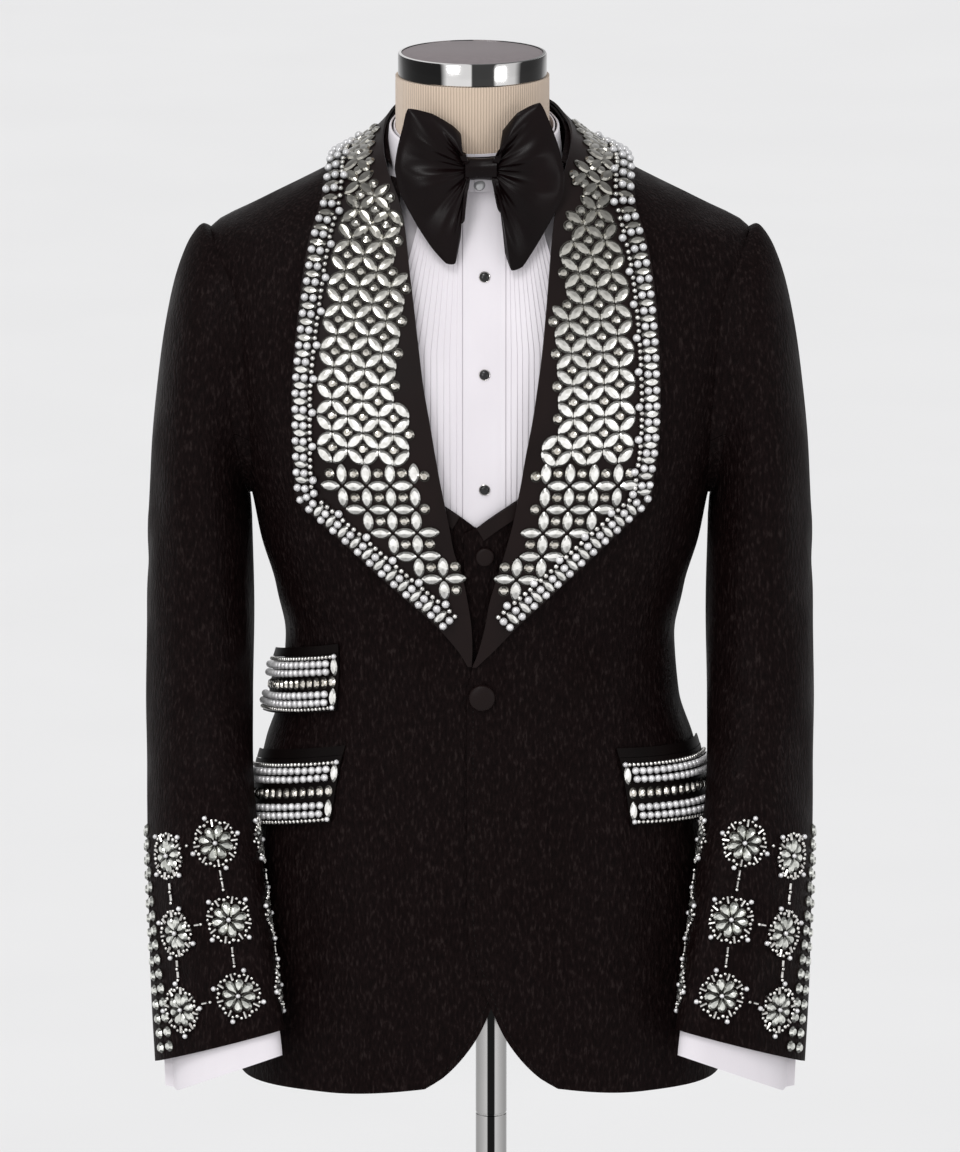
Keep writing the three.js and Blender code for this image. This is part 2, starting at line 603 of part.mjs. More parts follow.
function sleeveNormal(turn, level) {
  const e = 0.01;
  const up = Math.min(SLEEVE_TOP, level + 0.02);
  const down = Math.max(0, level - 0.02);
  const round = sleevePoint(turn + e, level).sub(sleevePoint(turn - e, level));
  const rise = sleevePoint(turn, up).sub(sleevePoint(turn, down));
  return round.cross(rise).normalize();
}

function addSleeves() {
  const [from, to] = TOP_SLEEVE_DEG.map((degrees) => degrees * RAD);
  const gap = 0.16 * RAD;
  const levels = [0, 0.07, 0.15, 0.23, 0.31, 0.46, 0.62, 0.8, 1, 3, 5, 7, 9, SLEEVE_TOP];
  const inner = (u, level) => sleevePoint(u, level).addScaledVector(sleeveNormal(u, level), -CLOTH);
  const studded = (columns) => (u, level) => {
    const p = sleevePoint(u, level);
    const i = levels.indexOf(level);
    const j = columns.indexOf(u);
    const edge = j === 0 || j === columns.length - 1;
    const raised = i > 0 && i < 5 && !edge && (i + j) % 2 === 0;
    return raised ? p.addScaledVector(sleeveNormal(u, level), STONE_RISE) : p;
  };
  const top = range(from + gap, to - gap, 9);
  const under = range(to + gap, from + 2 * Math.PI - gap, 6);
  for (const left of [true, false]) {
    const which = left ? "left" : "right";
    wall("top_sleeve_" + which, studded(top), top, levels, 0, BLACK_CLOTH, { inner, mirror: !left });
    wall("under_sleeve_" + which, studded(under), under, levels, 0, BLACK_CLOTH,
      { inner, mirror: !left });
  }
}

// Shirt cuff: a strip round the wrist whose ends meet and stand out behind as a flat fin
function addShirtCuffs() {
  const surface = (u, v) => {
    const share = Math.abs(u);
    const side = Math.sign(u) || 1;
    const ringShare = Math.min(1, share / 0.86);
    const turn = 270 * RAD - side * 156 * RAD * ringShare;
    const hem = SLEEVE_HEM.mid - SLEEVE_HEM.slant * Math.sin(turn);
    const z = hem - CUFF.below + (CUFF.below + CUFF.above) * v;
    const width = along(SLEEVE, "width", z) - CUFF.inset;
    const depth = along(SLEEVE, "depth", z) - CUFF.inset;
    let outward = width * Math.cos(turn);
    let backward = (depth - CUFF.fin / 2) * Math.sin(turn) - CUFF.fin / 2;
    if (share > 0.86) {
      const t = (share - 0.86) / 0.14;
      outward += (-side * (CUFF.finHalfGap + CUFF.wall) - outward) * Math.min(1, t * 2);
      backward += (depth - 3 - backward) * t;
    }
    const angle = along(SLEEVE, "turn", z) * RAD;
    return new THREE.Vector3(
      along(SLEEVE, "x", z) + outward * Math.cos(angle) - backward * Math.sin(angle),
      along(SLEEVE, "y", z) + outward * Math.sin(angle) + backward * Math.cos(angle),
      z,
    );
  };
  const half = [0.1, 0.2, 0.3, 0.4, 0.5, 0.6, 0.7, 0.78, 0.86, 0.93, 1];
  const us = [...half.map((u) => -u).reverse(), 0, ...half];
  for (const left of [true, false])
    wall("shirt_cuff_" + (left ? "left" : "right"), surface, us, [0, 0.5, 1], CUFF.wall,
      WHITE_COTTON, { side: -1, mirror: !left });
}

// Smooth curve through four points, between the middle two
function through(p0, p1, p2, p3, t) {
  const blend = (a, b, c, d) =>
    0.5 * (2 * b + (c - a) * t + (2 * a - 5 * b + 4 * c - d) * t * t +
      (3 * b - a - 3 * c + d) * t * t * t);
  return new THREE.Vector3(
    blend(p0.x, p1.x, p2.x, p3.x),
    blend(p0.y, p1.y, p2.y, p3.y),
    blend(p0.z, p1.z, p2.z, p3.z),
  );
}

// Moves a point level with the floor until it lies at a distance out from the body
function settle(p, out, onlyOut = false) {
  if (onlyOut) {
    const under = p.clone().addScaledVector(bodyNormal(p), -out);
    if (bodyField(under.x, under.y, under.z) >= 0) return p;
  }
  let low = 0.2;
  let high = 4;
  for (let i = 0; i < 40; i++) {
    const middle = (low + high) / 2;
    if (bodyField(p.x * middle, p.y * middle, p.z) < 0) low = middle;
    else high = middle;
  }
  const q = new THREE.Vector3(p.x * low, p.y * low, p.z);
  return q.addScaledVector(bodyNormal(q), out);
}

// Point of the shawl collar: across from the fold to the outer edge, along from tip to centre back
const LAPEL_ROWS = LAPEL.length + COLLAR.length - 1;
function lapelPoint(across, along01, left, out = LAYER.lapel) {
  const row = (k) => {
    if (k < LAPEL.length) {
      const r = LAPEL[k];
      const roll = left ? r.rollLeft : r.rollRight;
      const outer = left ? r.outLeft : r.outRight;
      const p = onBody(angleAtX(roll + (outer - roll) * across, r.z), r.z);
      const shoulder = Math.max(0, k + 2 - LAPEL.length) * 0.7;
      return p.addScaledVector(bodyNormal(p), out + shoulder + frontLift(p.x, left));
    }
    const c = COLLAR[k - LAPEL.length];
    const lean = (left ? 1 : -1) * COLLAR_LEAN_X * Math.min(1, c.foldX / 40);
    const fold = new THREE.Vector3(c.foldX + lean, c.foldY, c.foldZ);
    const clear = out + 1.3;
    const edge = settle(new THREE.Vector3(c.edgeX, c.edgeY, c.edgeZ), clear);
    const p = fold.lerp(edge, across);
    p.z += 3 * Math.sin(Math.PI * across);
    return settle(p, clear, true);
  };
  const at = Math.min(LAPEL_ROWS, Math.max(0, along01 * LAPEL_ROWS));
  const k = Math.min(LAPEL_ROWS - 1, Math.floor(at));
  const p = through(row(Math.max(0, k - 1)), row(k), row(k + 1),
    row(Math.min(LAPEL_ROWS, k + 2)), at - k);
  p.x = Math.max(p.x, at > LAPEL.length ? SEAM_GAP / 2 : -20);
  return at > LAPEL.length - 3 ? settle(p, out + 1, true) : p;
}

function lapelNormal(across, along01, left) {
  const e = 0.01;
  const [a0, a1] = [Math.max(0, across - e), Math.min(1, across + e)];
  const [b0, b1] = [Math.max(0, along01 - e), Math.min(1, along01 + e)];
  const du = lapelPoint(a1, along01, left).sub(lapelPoint(a0, along01, left));
  const dv = lapelPoint(across, b1, left).sub(lapelPoint(across, b0, left));
  return du.cross(dv).normalize();
}

// Stones of the lapel are raised as a lattice of low points over a plain inner face
function addLapels() {
  const columns = range(0, 1, 6);
  const rows = range(0, 1, 34);
  for (const left of [true, false]) {
    const inner = (u, v) =>
      lapelPoint(u, v, left).addScaledVector(lapelNormal(u, v, left), -LAPEL_WALL);
    const outer = (u, v) => {
      const p = lapelPoint(u, v, left);
      const i = rows.indexOf(v);
      const j = columns.indexOf(u);
      const stone = i > 3 && i < 33 && j > 1 && j < 6 && (i + j) % 2 === 0;
      return stone ? p.addScaledVector(lapelNormal(u, v, left), STONE_RISE) : p;
    };
    wall(left ? "lapel_left" : "lapel_right", outer, columns, rows, 0, BLACK_SATIN,
      { inner, mirror: !left });
  }
}

function addCollarStand() {
  const last = COLLAR_STAND.length - 1;
  const surface = (u, v) => {
    const at = (1 - Math.abs(u)) * last;
    const k = Math.min(last - 1, Math.floor(at));
    const row = (i) => {
      const r = COLLAR_STAND[Math.min(last, Math.max(0, i))];
      const lean = COLLAR_LEAN_X * Math.min(1, r.headX / 40) * v;
      const sign = u < 0 ? -1 : 1;
      return new THREE.Vector3(
        sign * (r.footX + (r.headX - r.footX) * v) + lean,
        r.footY + (r.headY - r.footY) * v,
        r.footZ + (r.headZ - r.footZ) * v,
      );
    };
    return through(row(k - 1), row(k), row(k + 1), row(k + 2), at - k);
  };
  wall("collar_stand", surface, range(-0.999, 0.999, 20), [0, 1], 1.3, BLACK_CLOTH,
    { side: -1 });
}

// Pocket flap with its stones raised in bands, and the narrow jet above it
function addPockets() {
  for (const flap of FLAPS) {
    const from = angleAtX(flap.x, flap.top);
    const arc = (u) => {
      const z = flap.top - flap.drop * u;
      let angle = from;
      let before = onBody(angle, z);
      let left = flap.length * u;
      while (left > 0.001) {
        const step = Math.min(2, left);
        const next = angle + step / 150;
        const p = onBody(next, z);
        const moved = Math.hypot(p.x - before.x, p.y - before.y);
        angle += (step / 150) * (step / Math.max(moved, step * 0.3));
        before = onBody(angle, z);
        left -= step;
      }
      return angle;
    };
    const us = range(0, 1, 9);
    const angles = us.map(arc);
    const shell = (out, foot, height) => (u, v) => {
      const angle = angles[us.indexOf(u)];
      const z = flap.top - flap.drop * u + foot + height * v;
      const lean = flap.stand * u * u * (1 - 0.25 * v);
      return onBody(angle, z, out + lean);
    };
    const rows = [0, 0.3, 0.5, 0.7, 1];
    const outer = (u, v) => {
      const i = rows.indexOf(v);
      const j = us.indexOf(u);
      const band = (i === 1 || i === 3) && j > 0 && j < us.length - 1;
      return shell(LAYER.flap + (band ? STONE_RISE : 0), -flap.height, flap.height)(u, v);
    };
    wall(flap.name + "_pocket_flap", outer, us, rows, 0, BLACK_SATIN, {
      inner: shell(LAYER.flap - 1.5, -flap.height, flap.height),
      mirror: flap.side < 0,
    });
    wall(flap.name + "_pocket_jet", shell(LAYER.jet, SEAM_GAP, JET_HEIGHT), us, [0, 1], 0,
      BLACK_SATIN, {
        inner: shell(LAYER.jet - 1.2, SEAM_GAP, JET_HEIGHT),
        mirror: flap.side < 0,
      });
  }
}

// Button or stud: a low dome on the outward direction of the body
function addButton(name, x, z, out, radius, height, look, steps = 12) {
  const centre = onBody(angleAtX(x, z), z, out);
  const axis = bodyNormal(centre);
  const profile = [[0, 0], [radius, 0], [radius, height * 0.45], [radius * 0.72, height * 0.85],
    [0, height]];
  const points = profile.map(([r, h]) => new THREE.Vector2(r, h));
  const geometry = new THREE.LatheGeometry(points, steps);
  geometry.applyQuaternion(new THREE.Quaternion().setFromUnitVectors(
    new THREE.Vector3(0, 1, 0), axis));
  geometry.translate(centre.x, centre.y, centre.z);
  return addMesh(name, geometry, look);
}

// Levels shared by the layers under the jacket, so that their facets lie parallel
const UNDER_LEVELS = [985, 1040, 1086, 1130, 1190, 1240, 1290, 1340, 1390];

// Waistcoat, its edge measured from its own centre line
function addVest() {
  const seam = Math.PI / 2;
  const joint = 1190;
  const armhole = (z, behind) => {
    const turn = armholeAngle(Math.min(1390, Math.max(z, 1240)), behind);
    const edge = behind ? turn + 7 * RAD : turn - 7 * RAD;
    return seam + (edge - seam) * Math.min(1, (z - joint) / 50);
  };
  const levels = [884, 930, ...UNDER_LEVELS.slice(0, 5), 1199.5, 1207, 1217, 1240, 1290, 1340,
    1390, 1425, 1468];
  for (const left of [true, false]) {
    const sign = left ? 1 : -1;
    const lift = (x) => (left ? VEST.lift * Math.min(1, Math.max(0, (58 - x) / 28)) : 0);
    const edge = (z) => {
      const neck = along(VEST_EDGE, "x", z) + sign * VEST.x;
      const lap = sign * VEST.x - VEST.lap;
      return z < VEST_EDGE[0].z ? lap : Math.max(lap, neck);
    };
    const surface = (u, level) => {
      const low = Math.max(0, 1 - (level - levels[0]) / 46);
      const z = level - VEST.point * low * Math.max(0, 1 - Math.abs(u - 0.18) / 0.25);
      const first = angleAtX(edge(z), z);
      const last = z <= joint ? seam : armhole(z, false);
      const p = onBody(first + (last - 0.001 - first) * u, z, LAYER.vest);
      return p.addScaledVector(bodyNormal(p), lift(p.x));
    };
    wall("vest_front_" + (left ? "left" : "right"), surface,
      [0, 0.09, 0.22, 0.38, 0.55, 0.72, 0.87, 1], levels, VEST.wall, BLACK_CLOTH,
      { normal: bodyNormal, mirror: !left });
    const strip = (u, v) => {
      const first = VEST_EDGE[0].z + (left ? 0 : 9);
      const z = first + (VEST_EDGE[4].z - first) * v;
      const x = along(VEST_EDGE, "x", z) + sign * VEST.x + 0.5;
      const width = VEST.strip * u;
      const low = z - width * 0.87;
      const p = onBody(angleAtX(x + width * 0.5, low), low, LAYER.strip);
      return p.addScaledVector(bodyNormal(p), lift(x));
    };
    wall("vest_collar_" + (left ? "left" : "right"), strip, [0, 1],
      [0, 0.07, 0.15, 0.25, 0.36, 0.5, 0.7, 1], 1.1, BLACK_SATIN,
      { normal: bodyNormal, mirror: !left });
  }
  const back = (u, level) => {
    const edge = level <= joint ? seam : armhole(level, true);
    return onBody(edge + 0.001 + (2 * Math.PI - 2 * edge - 0.002) * u, level, LAYER.vest);
  };
  wall("vest_back", back, range(0, 1, 8), [884, 930, ...UNDER_LEVELS, 1425, 1474], VEST.wall,
    BLACK_SATIN, { normal: bodyNormal });
}

// Plain body of the shirt: under the jacket it follows the body, at the neck it nears the form
function shirtPoint(angle, z) {
  const p = onBody(angle, z, LAYER.shirt);
  const t = Math.min(1, Math.max(0, (z - 1404) / 38));
  const q = roundPoint(FORM, angle, z);
  const away = new THREE.Vector3(q.x, q.y, 0).normalize();
  return p.lerp(q.addScaledVector(away, 4.6), t * t * (3 - 2 * t));
}

function addShirt() {
  const joint = 1190;
  const seam = Math.PI / 2;
  const neckDrop = SHIRT_NECK.back - SHIRT_NECK.front;
  const height = (angle, level) => {
    const rise = Math.max(0, (level - 1420) / (SHIRT_NECK.back - 1420));
    return level - (neckDrop * rise * (1 + Math.cos(angle))) / 2;
  };
  const edge = (level, behind) => {
    if (level <= joint) return seam;
    const z = Math.min(1400, Math.max(level, 1240));
    const t = Math.min(1, Math.max(0, (level - 1405) / 20));
    const armhole = armholeAngle(z, behind) + (behind ? 5 : -5) * RAD;
    const low = Math.min(1, (level - joint) / 50);
    return seam + (armhole - seam) * low * (1 - t);
  };
  const levels = [850, 920, ...UNDER_LEVELS, 1408, 1425, 1442, 1460, SHIRT_NECK.back];
  for (const left of [true, false]) {
    const sign = left ? 1 : -1;
    const front = (u, level) => {
      const middle = angleAtX(sign * PLACKET.x + SEAM_GAP / 2, level);
      const last = edge(level, false) - 0.001;
      const angle = middle + (last - middle) * u;
      return shirtPoint(sign * angle, height(angle, level));
    };
    const which = left ? "left" : "right";
    wall("shirt_front_" + which, front, [0, 0.2, 0.42, 0.62, 0.8, 1], levels, 1, WHITE_COTTON,
      { side: sign });
    const start = sign * PLACKET.x + PLACKET.halfWidth + 0.3;
    const pleat = (j, z) => {
      const t = Math.max(0, (z - BIB.taperFrom) / (SHIRT_NECK.front - BIB.taperFrom));
      const half = BIB.half + (BIB.topHalf - BIB.half) * t;
      return start + ((half - start) * j) / (2 * PLEATS);
    };
    const bib = (j, z) => {
      const rise = j % 2 === 1 ? PLEAT_RISE : 0;
      return onBody(angleAtX(pleat(j, z), z), z, LAYER.bib + rise);
    };
    const plain = (j, z) => onBody(angleAtX(pleat(j, z), z), z, LAYER.bib - 0.9);
    wall("shirt_bib_" + which, bib, range(0, 2 * PLEATS, 2 * PLEATS),
      [BIB.bottom, 1240, 1290, 1340, 1390, 1425, SHIRT_NECK.front], 0, WHITE_COTTON,
      { inner: plain, mirror: !left });
  }
  const back = (u, level) => {
    const first = edge(level, true) + 0.001;
    const angle = first + (2 * Math.PI - 2 * first) * u;
    return shirtPoint(angle, height(angle, level));
  };
  wall("shirt_back", back, range(0, 1, 8), levels, 1, WHITE_COTTON);
  const placket = (u, z) => {
    const x = PLACKET.x + PLACKET.halfWidth * u;
    return onBody(angleAtX(x, z), z, LAYER.bib + 0.7);
  };
  wall("shirt_placket", placket, [-1, 0, 1],
    [BIB.bottom, ...STUD.z, SHIRT_NECK.front].flatMap((z, k, all) =>
      (k ? [(z + all[k - 1]) / 2, z] : [z])), 0.8, WHITE_COTTON, { normal: bodyNormal });
  STUD.z.forEach((z, i) => {
    addButton("shirt_stud_" + (i + 1), PLACKET.x + 0.2, z, LAYER.bib + 0.95, STUD.radius,
      STUD.height, STUD_BLACK);
  });
}

// Point round the neck at a radius and height, 0 is the centre front
function neckPoint(angle, radius, z) {
  return new THREE.Vector3(
    SHIRT_COLLAR.x + radius * Math.sin(angle),
    SHIRT_COLLAR.y - radius * Math.cos(angle),
    z,
  );
}

function foldHeight(angle) {
  const { foldFront, foldBack } = SHIRT_COLLAR;
  return foldFront + ((foldBack - foldFront) * (1 - Math.cos(angle))) / 2;
}

function addShirtCollar() {
  const c = SHIRT_COLLAR;
  const neckDrop = SHIRT_NECK.back - SHIRT_NECK.front;
  const foot = (a) => SHIRT_NECK.front + 0.4 + (neckDrop * (1 - Math.cos(a))) / 2;
  const stand = (a, v) =>
    neckPoint(a, c.standFoot + (c.standHead - c.standFoot) * v, foot(a) + (foldHeight(a) - foot(a)) * v);
  const round = range(0, 360, 30).map((d) => Math.min(359.9, Math.max(0.1, d)) * RAD);
  wall("shirt_collar_stand", stand, round, [0, 0.45, 1], c.wall, WHITE_COTTON);
  const fallAngles = [c.openingLeft, ...range(24, 336, 26), 360 - c.openingRight];
  const fall = (a, v) => {
    const front = Math.max(0, Math.cos(a)) ** 2;
    const drop = 28 + 16 * front;
    const swing = Math.sin(a) * front * 0.1 * (1 - v);
    const foot = c.fallFoot + 13.5 * front ** 0.7;
    const bend = 0.955;
    const radius = v > bend ? c.fallUnder + ((c.fallHead - c.fallUnder) * (v - bend)) / (1 - bend)
      : foot + ((c.fallUnder - foot) * v) / bend;
    return neckPoint(a + swing, radius, foldHeight(a) - drop * (1 - v));
  };
  wall("shirt_collar_fall", fall, fallAngles.map((d) => d * RAD), [0, 0.5, 0.955, 1],
    c.wall, WHITE_COTTON);
  const band = (a, v) =>
    neckPoint(a, BOW_BAND.inner + BOW_BAND.wall, foldHeight(a) - BOW_BAND.below - BOW_BAND.height * (1 - v));
  wall("bow_band", band, round, [0, 1], BOW_BAND.wall, BLACK_SATIN);
}

// Bow tie: two wings gathered into the knot, with folds that fan out from it
function addBowTie() {
  const wing = (rows, sign) => (k, ring) => {
    const knotEnd = KNOT.x + sign * KNOT.halfLength;
    if (ring < 2) {
      const spread = [3.4, 4.4][ring];
      const x = knotEnd + sign * [-3.5, 0.9][ring];
      const gather = BOW_WALL / 2 + 0.5 * Math.sin(k * 2.1);
      const share = 1 - (2 * k) / (rows.length - 1);
      return new THREE.Vector3(x, KNOT.y - gather, KNOT.z + spread * share);
    }
    const v = [0, 0, 0.34, 0.58, 0.82, 1][ring];
    const out = sign * (knotEnd + (rows[k].x - knotEnd) * v - KNOT.x);
    const z = KNOT.z + (rows[k].z - KNOT.z) * v;
    const belly = 8 * Math.sin(Math.PI * (v * 0.9 + 0.06));
    const crease = 2.4 * Math.sin(k * 2.1) * Math.sin(Math.PI * v);
    const y = KNOT.y - BOW_WALL / 2 + BOW_LEAN * (z - KNOT.z) - belly - crease;
    const least = KNOT.halfLength + 1.3 + 0.4 * ring;
    const clear = Math.max(out, least + 0.15 * (out - least));
    return new THREE.Vector3(KNOT.x + sign * clear, y, z);
  };
  for (const [name, rows, sign] of [["left", BOW_LEFT_WING, 1], ["right", BOW_RIGHT_WING, -1]]) {
    const front = wing(rows, sign);
    const inner = (u, v) => front(u, v).add(new THREE.Vector3(0, BOW_WALL, 0));
    const folds = rows.length - 1;
    wall("bow_wing_" + name, front, range(0, folds, folds), range(0, 5, 5), 0, BLACK_SATIN,
      { inner });
  }
  const profile = (turn, t) => {
    const pinch = 1 + 0.14 * Math.abs(t);
    return new THREE.Vector3(
      KNOT.x + KNOT.halfLength * t,
      KNOT.y + KNOT.halfDepth * pinch * Math.cos(turn),
      KNOT.z + KNOT.halfHeight * pinch * Math.sin(turn),
    );
  };
  wall("bow_knot", profile, range(0, 2 * Math.PI, 14), [-1, 0, 1], 1.6, BLACK_SATIN,
    { round: true });
}

addFronts();
addSidesAndBacks();
addSleeves();
addShirtCuffs();
addLapels();
addCollarStand();
addPockets();
addButton("jacket_button", 1.6, BUTTON_Z, LAYER.overlap + 0.3, 10.5, 5.4, BLACK_CLOTH, 18);
addVest();
addButton("vest_button", 3.9, VEST.buttonZ, LAYER.vest + VEST.lift + 0.2, 7.5, 3.4, BLACK_CLOTH);
addShirt();
addShirtCollar();
addBowTie();

// Dress form, its neck cap, pole and base
loft("form_torso", (angle, z) => roundPoint(FORM, angle, z), FORM.map((r) => r.z), 20, FORM_JERSEY);
turned("neck_cap_band", [[0, CAP.top - CAP.height], [CAP.radius, CAP.top - CAP.height],
  [CAP.radius, CAP.top - 1.5], [CAP.radius - 1.5, CAP.top], [CAP.inlay + 0.3, CAP.top],
  [CAP.inlay + 0.3, CAP.top - 2.3], [0, CAP.top - 2.3]], NECK.x, NECK.y, 26, BRUSHED_STEEL);
turned("neck_cap_inlay", [[0, CAP.top - 2], [CAP.inlay, CAP.top - 2], [CAP.inlay, CAP.top - 0.4],
  [0, CAP.top - 0.4]], NECK.x, NECK.y, 26, CAP_BLACK);
turned("pole", [[0, BASE.thick + 0.3], [POLE.radius, BASE.thick + 0.3],
  [POLE.radius, FORM[0].z - 0.3], [0, FORM[0].z - 0.3]], POLE.x, 0, 20, BRUSHED_STEEL);
turned("base_plate", [[0, 0], [BASE.radius, 0], [BASE.radius, 5], [BASE.radius - 4, BASE.thick],
  [0, BASE.thick]], 0, 0, 36, BRUSHED_STEEL);
turned("pole_flange", [[POLE.radius + 0.3, BASE.thick + 0.3], [34, BASE.thick + 0.3],
  [34, BASE.thick + 4], [20, BASE.thick + 12], [17, BASE.thick + 30],
  [POLE.radius + 0.3, BASE.thick + 30], [POLE.radius + 0.3, BASE.thick + 0.3]],
  POLE.x, 0, 16, BRUSHED_STEEL);

export default part;
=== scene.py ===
# Looks of a beaded tuxedo jacket, waistcoat, pleated shirt and bow tie on a limbless dress form.
# Tables and lengths are in millimetres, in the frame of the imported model: +Z up, the front faces -Y,
# and +X is the wearer's left. Meshes are turned into metres where they are made.
import math

import bpy
import numpy as np
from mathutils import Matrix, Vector, kdtree


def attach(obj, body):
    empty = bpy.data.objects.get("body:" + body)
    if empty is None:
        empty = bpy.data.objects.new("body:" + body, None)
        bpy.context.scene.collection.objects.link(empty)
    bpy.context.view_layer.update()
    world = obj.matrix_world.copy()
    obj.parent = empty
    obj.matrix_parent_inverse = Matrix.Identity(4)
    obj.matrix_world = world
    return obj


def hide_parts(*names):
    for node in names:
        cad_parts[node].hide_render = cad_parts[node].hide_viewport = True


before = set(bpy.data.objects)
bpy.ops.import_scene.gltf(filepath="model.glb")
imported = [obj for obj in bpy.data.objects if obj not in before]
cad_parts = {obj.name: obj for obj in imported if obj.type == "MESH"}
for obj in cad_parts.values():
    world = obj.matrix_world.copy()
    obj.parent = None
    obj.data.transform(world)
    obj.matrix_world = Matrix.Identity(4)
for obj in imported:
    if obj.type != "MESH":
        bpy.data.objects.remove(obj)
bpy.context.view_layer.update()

METRES = 0.001
LEAST_AREA_SHARE = 0.31
RAD = math.pi / 180
BODY = "root"
UPWARD = (0.0, 0.0, 1.0)
SIDES = ((True, "left"), (False, "right"))  # whether it is the wearer's left, and its word

# Camera, in metres and degrees
CAMERA_TARGET_Z = 1.13445
CAMERA_DISTANCE = 9.0
CAMERA_ELEVATION = 12.5
PIXEL = 0.0008  # size of the photograph's pixel at the target
PICTURE_HEIGHT = 1152 * PIXEL

# Driving dimensions
CLOTH = 1.6
LAPEL_WALL = 2.0
HEM_Z = 734.0
QUARTER_CORNER_Z = 741.0
QUARTER_RISE = 90.0  # height over which the hem's rise to the corner fades out
QUARTER_SHARE = 0.4
BODY_RADIUS = 180.0  # about, to turn a small distance round the body into an angle
CUTAWAY_AXIS_X = 9.0
BUTTON_Z = 1061.0
ARMHOLE_BOTTOM = 1205.0
ARMHOLE_TOP = 1418.0
ARMHOLE_HALF_DEPTH = 62.0
ARMHOLE_POWER = 2.3
SIDE_SEAM = 74 * RAD
BACK_SEAM = 106 * RAD
NECK_SEAM_Z = 1489.0
NECK_DIP_FROM_Z = 1446.0
NECK_DIP = 20.0  # how much lower the neck seam is in front
SEAM_GAP = 0.3
ARMHOLE_TUCK = 1.5  # how far the body's edge runs into the sleeve's seam
OVERLAP = 2.6
LAPEL_OUT = 3.2
FLAP_OUT = 3.0
JET_OUT = 2.3
VEST_OUT = -4.6
STRIP_OUT = -3.0
BIB_OUT = -8.4
SHIRT_OUT = -10.2

# Form and stand
NECK_X = -6.0
NECK_Y = -3.0
CAP_TOP = 1560.0
CAP_RADIUS = 59.0
CAP_HEIGHT = 18.0
CAP_INLAY = 56.0
POLE_X = 9.0
POLE_RADIUS = 12.5
FORM_FOOT_Z = 814.0
FORM_TOP_Z = 1541.7
NECK_RIBS = 170.0
BASE_RADIUS = 172.0
BASE_THICK = 9.0

# Body of the jacket: height, half width, front depth, back depth, roundness
TORSO = np.array([
    (700, 196, 119, 112, 2.4), (734, 195, 118, 112, 2.4), (800, 196, 120, 116, 2.4),
    (880, 192, 120, 119, 2.4), (940, 184, 117, 110, 2.4), (1000, 172, 113, 98, 2.35),
    (1040, 159.5, 111, 91, 2.3), (1086, 156, 111, 88, 2.3), (1130, 163, 114, 91, 2.3),
    (1170, 175, 119, 98, 2.3), (1205, 182, 123, 104, 2.3), (1240, 192, 125.5, 109, 2.3),
    (1298, 207, 121, 115, 2.25), (1346, 217, 110, 114, 2.2), (1396, 222, 94, 106, 2.2),
    (1418, 214, 88, 100, 2.15), (1437.5, 179, 82, 95, 2.1), (1455.5, 143, 76, 88, 2.05),
    (1471.5, 112, 70, 81, 2), (1491, 76, 64, 72, 2), (1506, 60, 60, 67, 2),
])

# Dress form: as above, then the middle's x and y
FORM = np.array([
    (814, 166, 94, 90, 2.3, 1, 0), (820, 176, 103, 100, 2.3, 1, 0),
    (880, 177, 106, 104, 2.3, 0, 0), (940, 170, 103, 96, 2.3, 0, 0),
    (985, 160, 100, 87, 2.3, 0, 0), (1040, 145, 97, 77, 2.3, 0, 0),
    (1086, 142, 97, 74, 2.3, 0, 0), (1130, 149, 100, 77, 2.3, 0, 0),
    (1190, 158, 107, 84, 2.3, 0, 0), (1240, 161, 111, 90, 2.3, 0, 0),
    (1290, 170, 108, 99, 2.25, 0, 0), (1340, 175, 97, 99, 2.2, 0, 0),
    (1382, 180, 83, 93, 2.2, 0, 0), (1402, 174, 75, 86, 2.15, 0, 0),
    (1418, 152, 69, 81, 2.1, -1, 0), (1434, 117, 61, 72, 2.05, -2, 0),
    (1448, 82, 58, 63, 2, -4, -1), (1460, 66, 57, 60.5, 2, -5, -2),
    (1472, 62, 58, 61, 2, -6, -3), (1494, 61, 60.5, 61, 2, -6, -3),
    (1541.7, 61, 61, 61, 2, -6, -3),
])

# Edge of the wearer's left front: height and distance from the middle
FRONT_EDGE = np.array([
    (741, 62), (751, 47), (770, 29.5), (788, 18), (810, 8.4), (835, -1.5), (858, -8),
    (885, -10.4), (1030, -10.4),
])

# Shawl lapels: height, then roll line and outer edge on the wearer's right and on the left
LAPEL = np.array([
    (1086, 6.6, 9.6, -6, -3), (1100, 6, 18, -1, 11), (1120, 6.9, 35, 4, 29.5),
    (1140, 9.8, 57.5, 7.5, 51), (1161, 14, 81, 13.4, 74), (1182, 20.6, 104, 19.7, 96.5),
    (1202, 24.2, 127.5, 25, 118), (1213, 26.4, 139.5, 27.3, 130), (1222, 28.2, 143.6, 29, 134),
    (1236, 31, 145.2, 31.8, 135.6), (1258, 35, 146.3, 35.6, 139), (1284, 39.3, 147, 40.7, 140.8),
    (1310, 44, 147, 44.8, 141), (1340, 47.9, 145, 48.9, 140.3), (1370, 51.5, 141.8, 51.9, 138.3),
    (1400, 55.2, 138, 54.4, 134.8), (1426, 58, 132.5, 56.7, 128.6), (1448, 61.8, 124, 59.5, 121),
])

# Shawl collar behind the shoulder: its fold, then the edge of its fall
COLLAR = np.array([
    (67, -54, 1470, 112, -18, 1465), (71.5, -30, 1486, 108, 8, 1469),
    (73.5, -2, 1499, 100, 34, 1469), (70, 24, 1506, 86, 54, 1470),
    (60, 49, 1512, 64, 68, 1470), (40, 66.5, 1516, 42, 77, 1470),
    (19, 73.5, 1518, 20, 81, 1470), (0, 75, 1518.5, 0, 82, 1470),
])
COLLAR_LEAN_X = -3.0

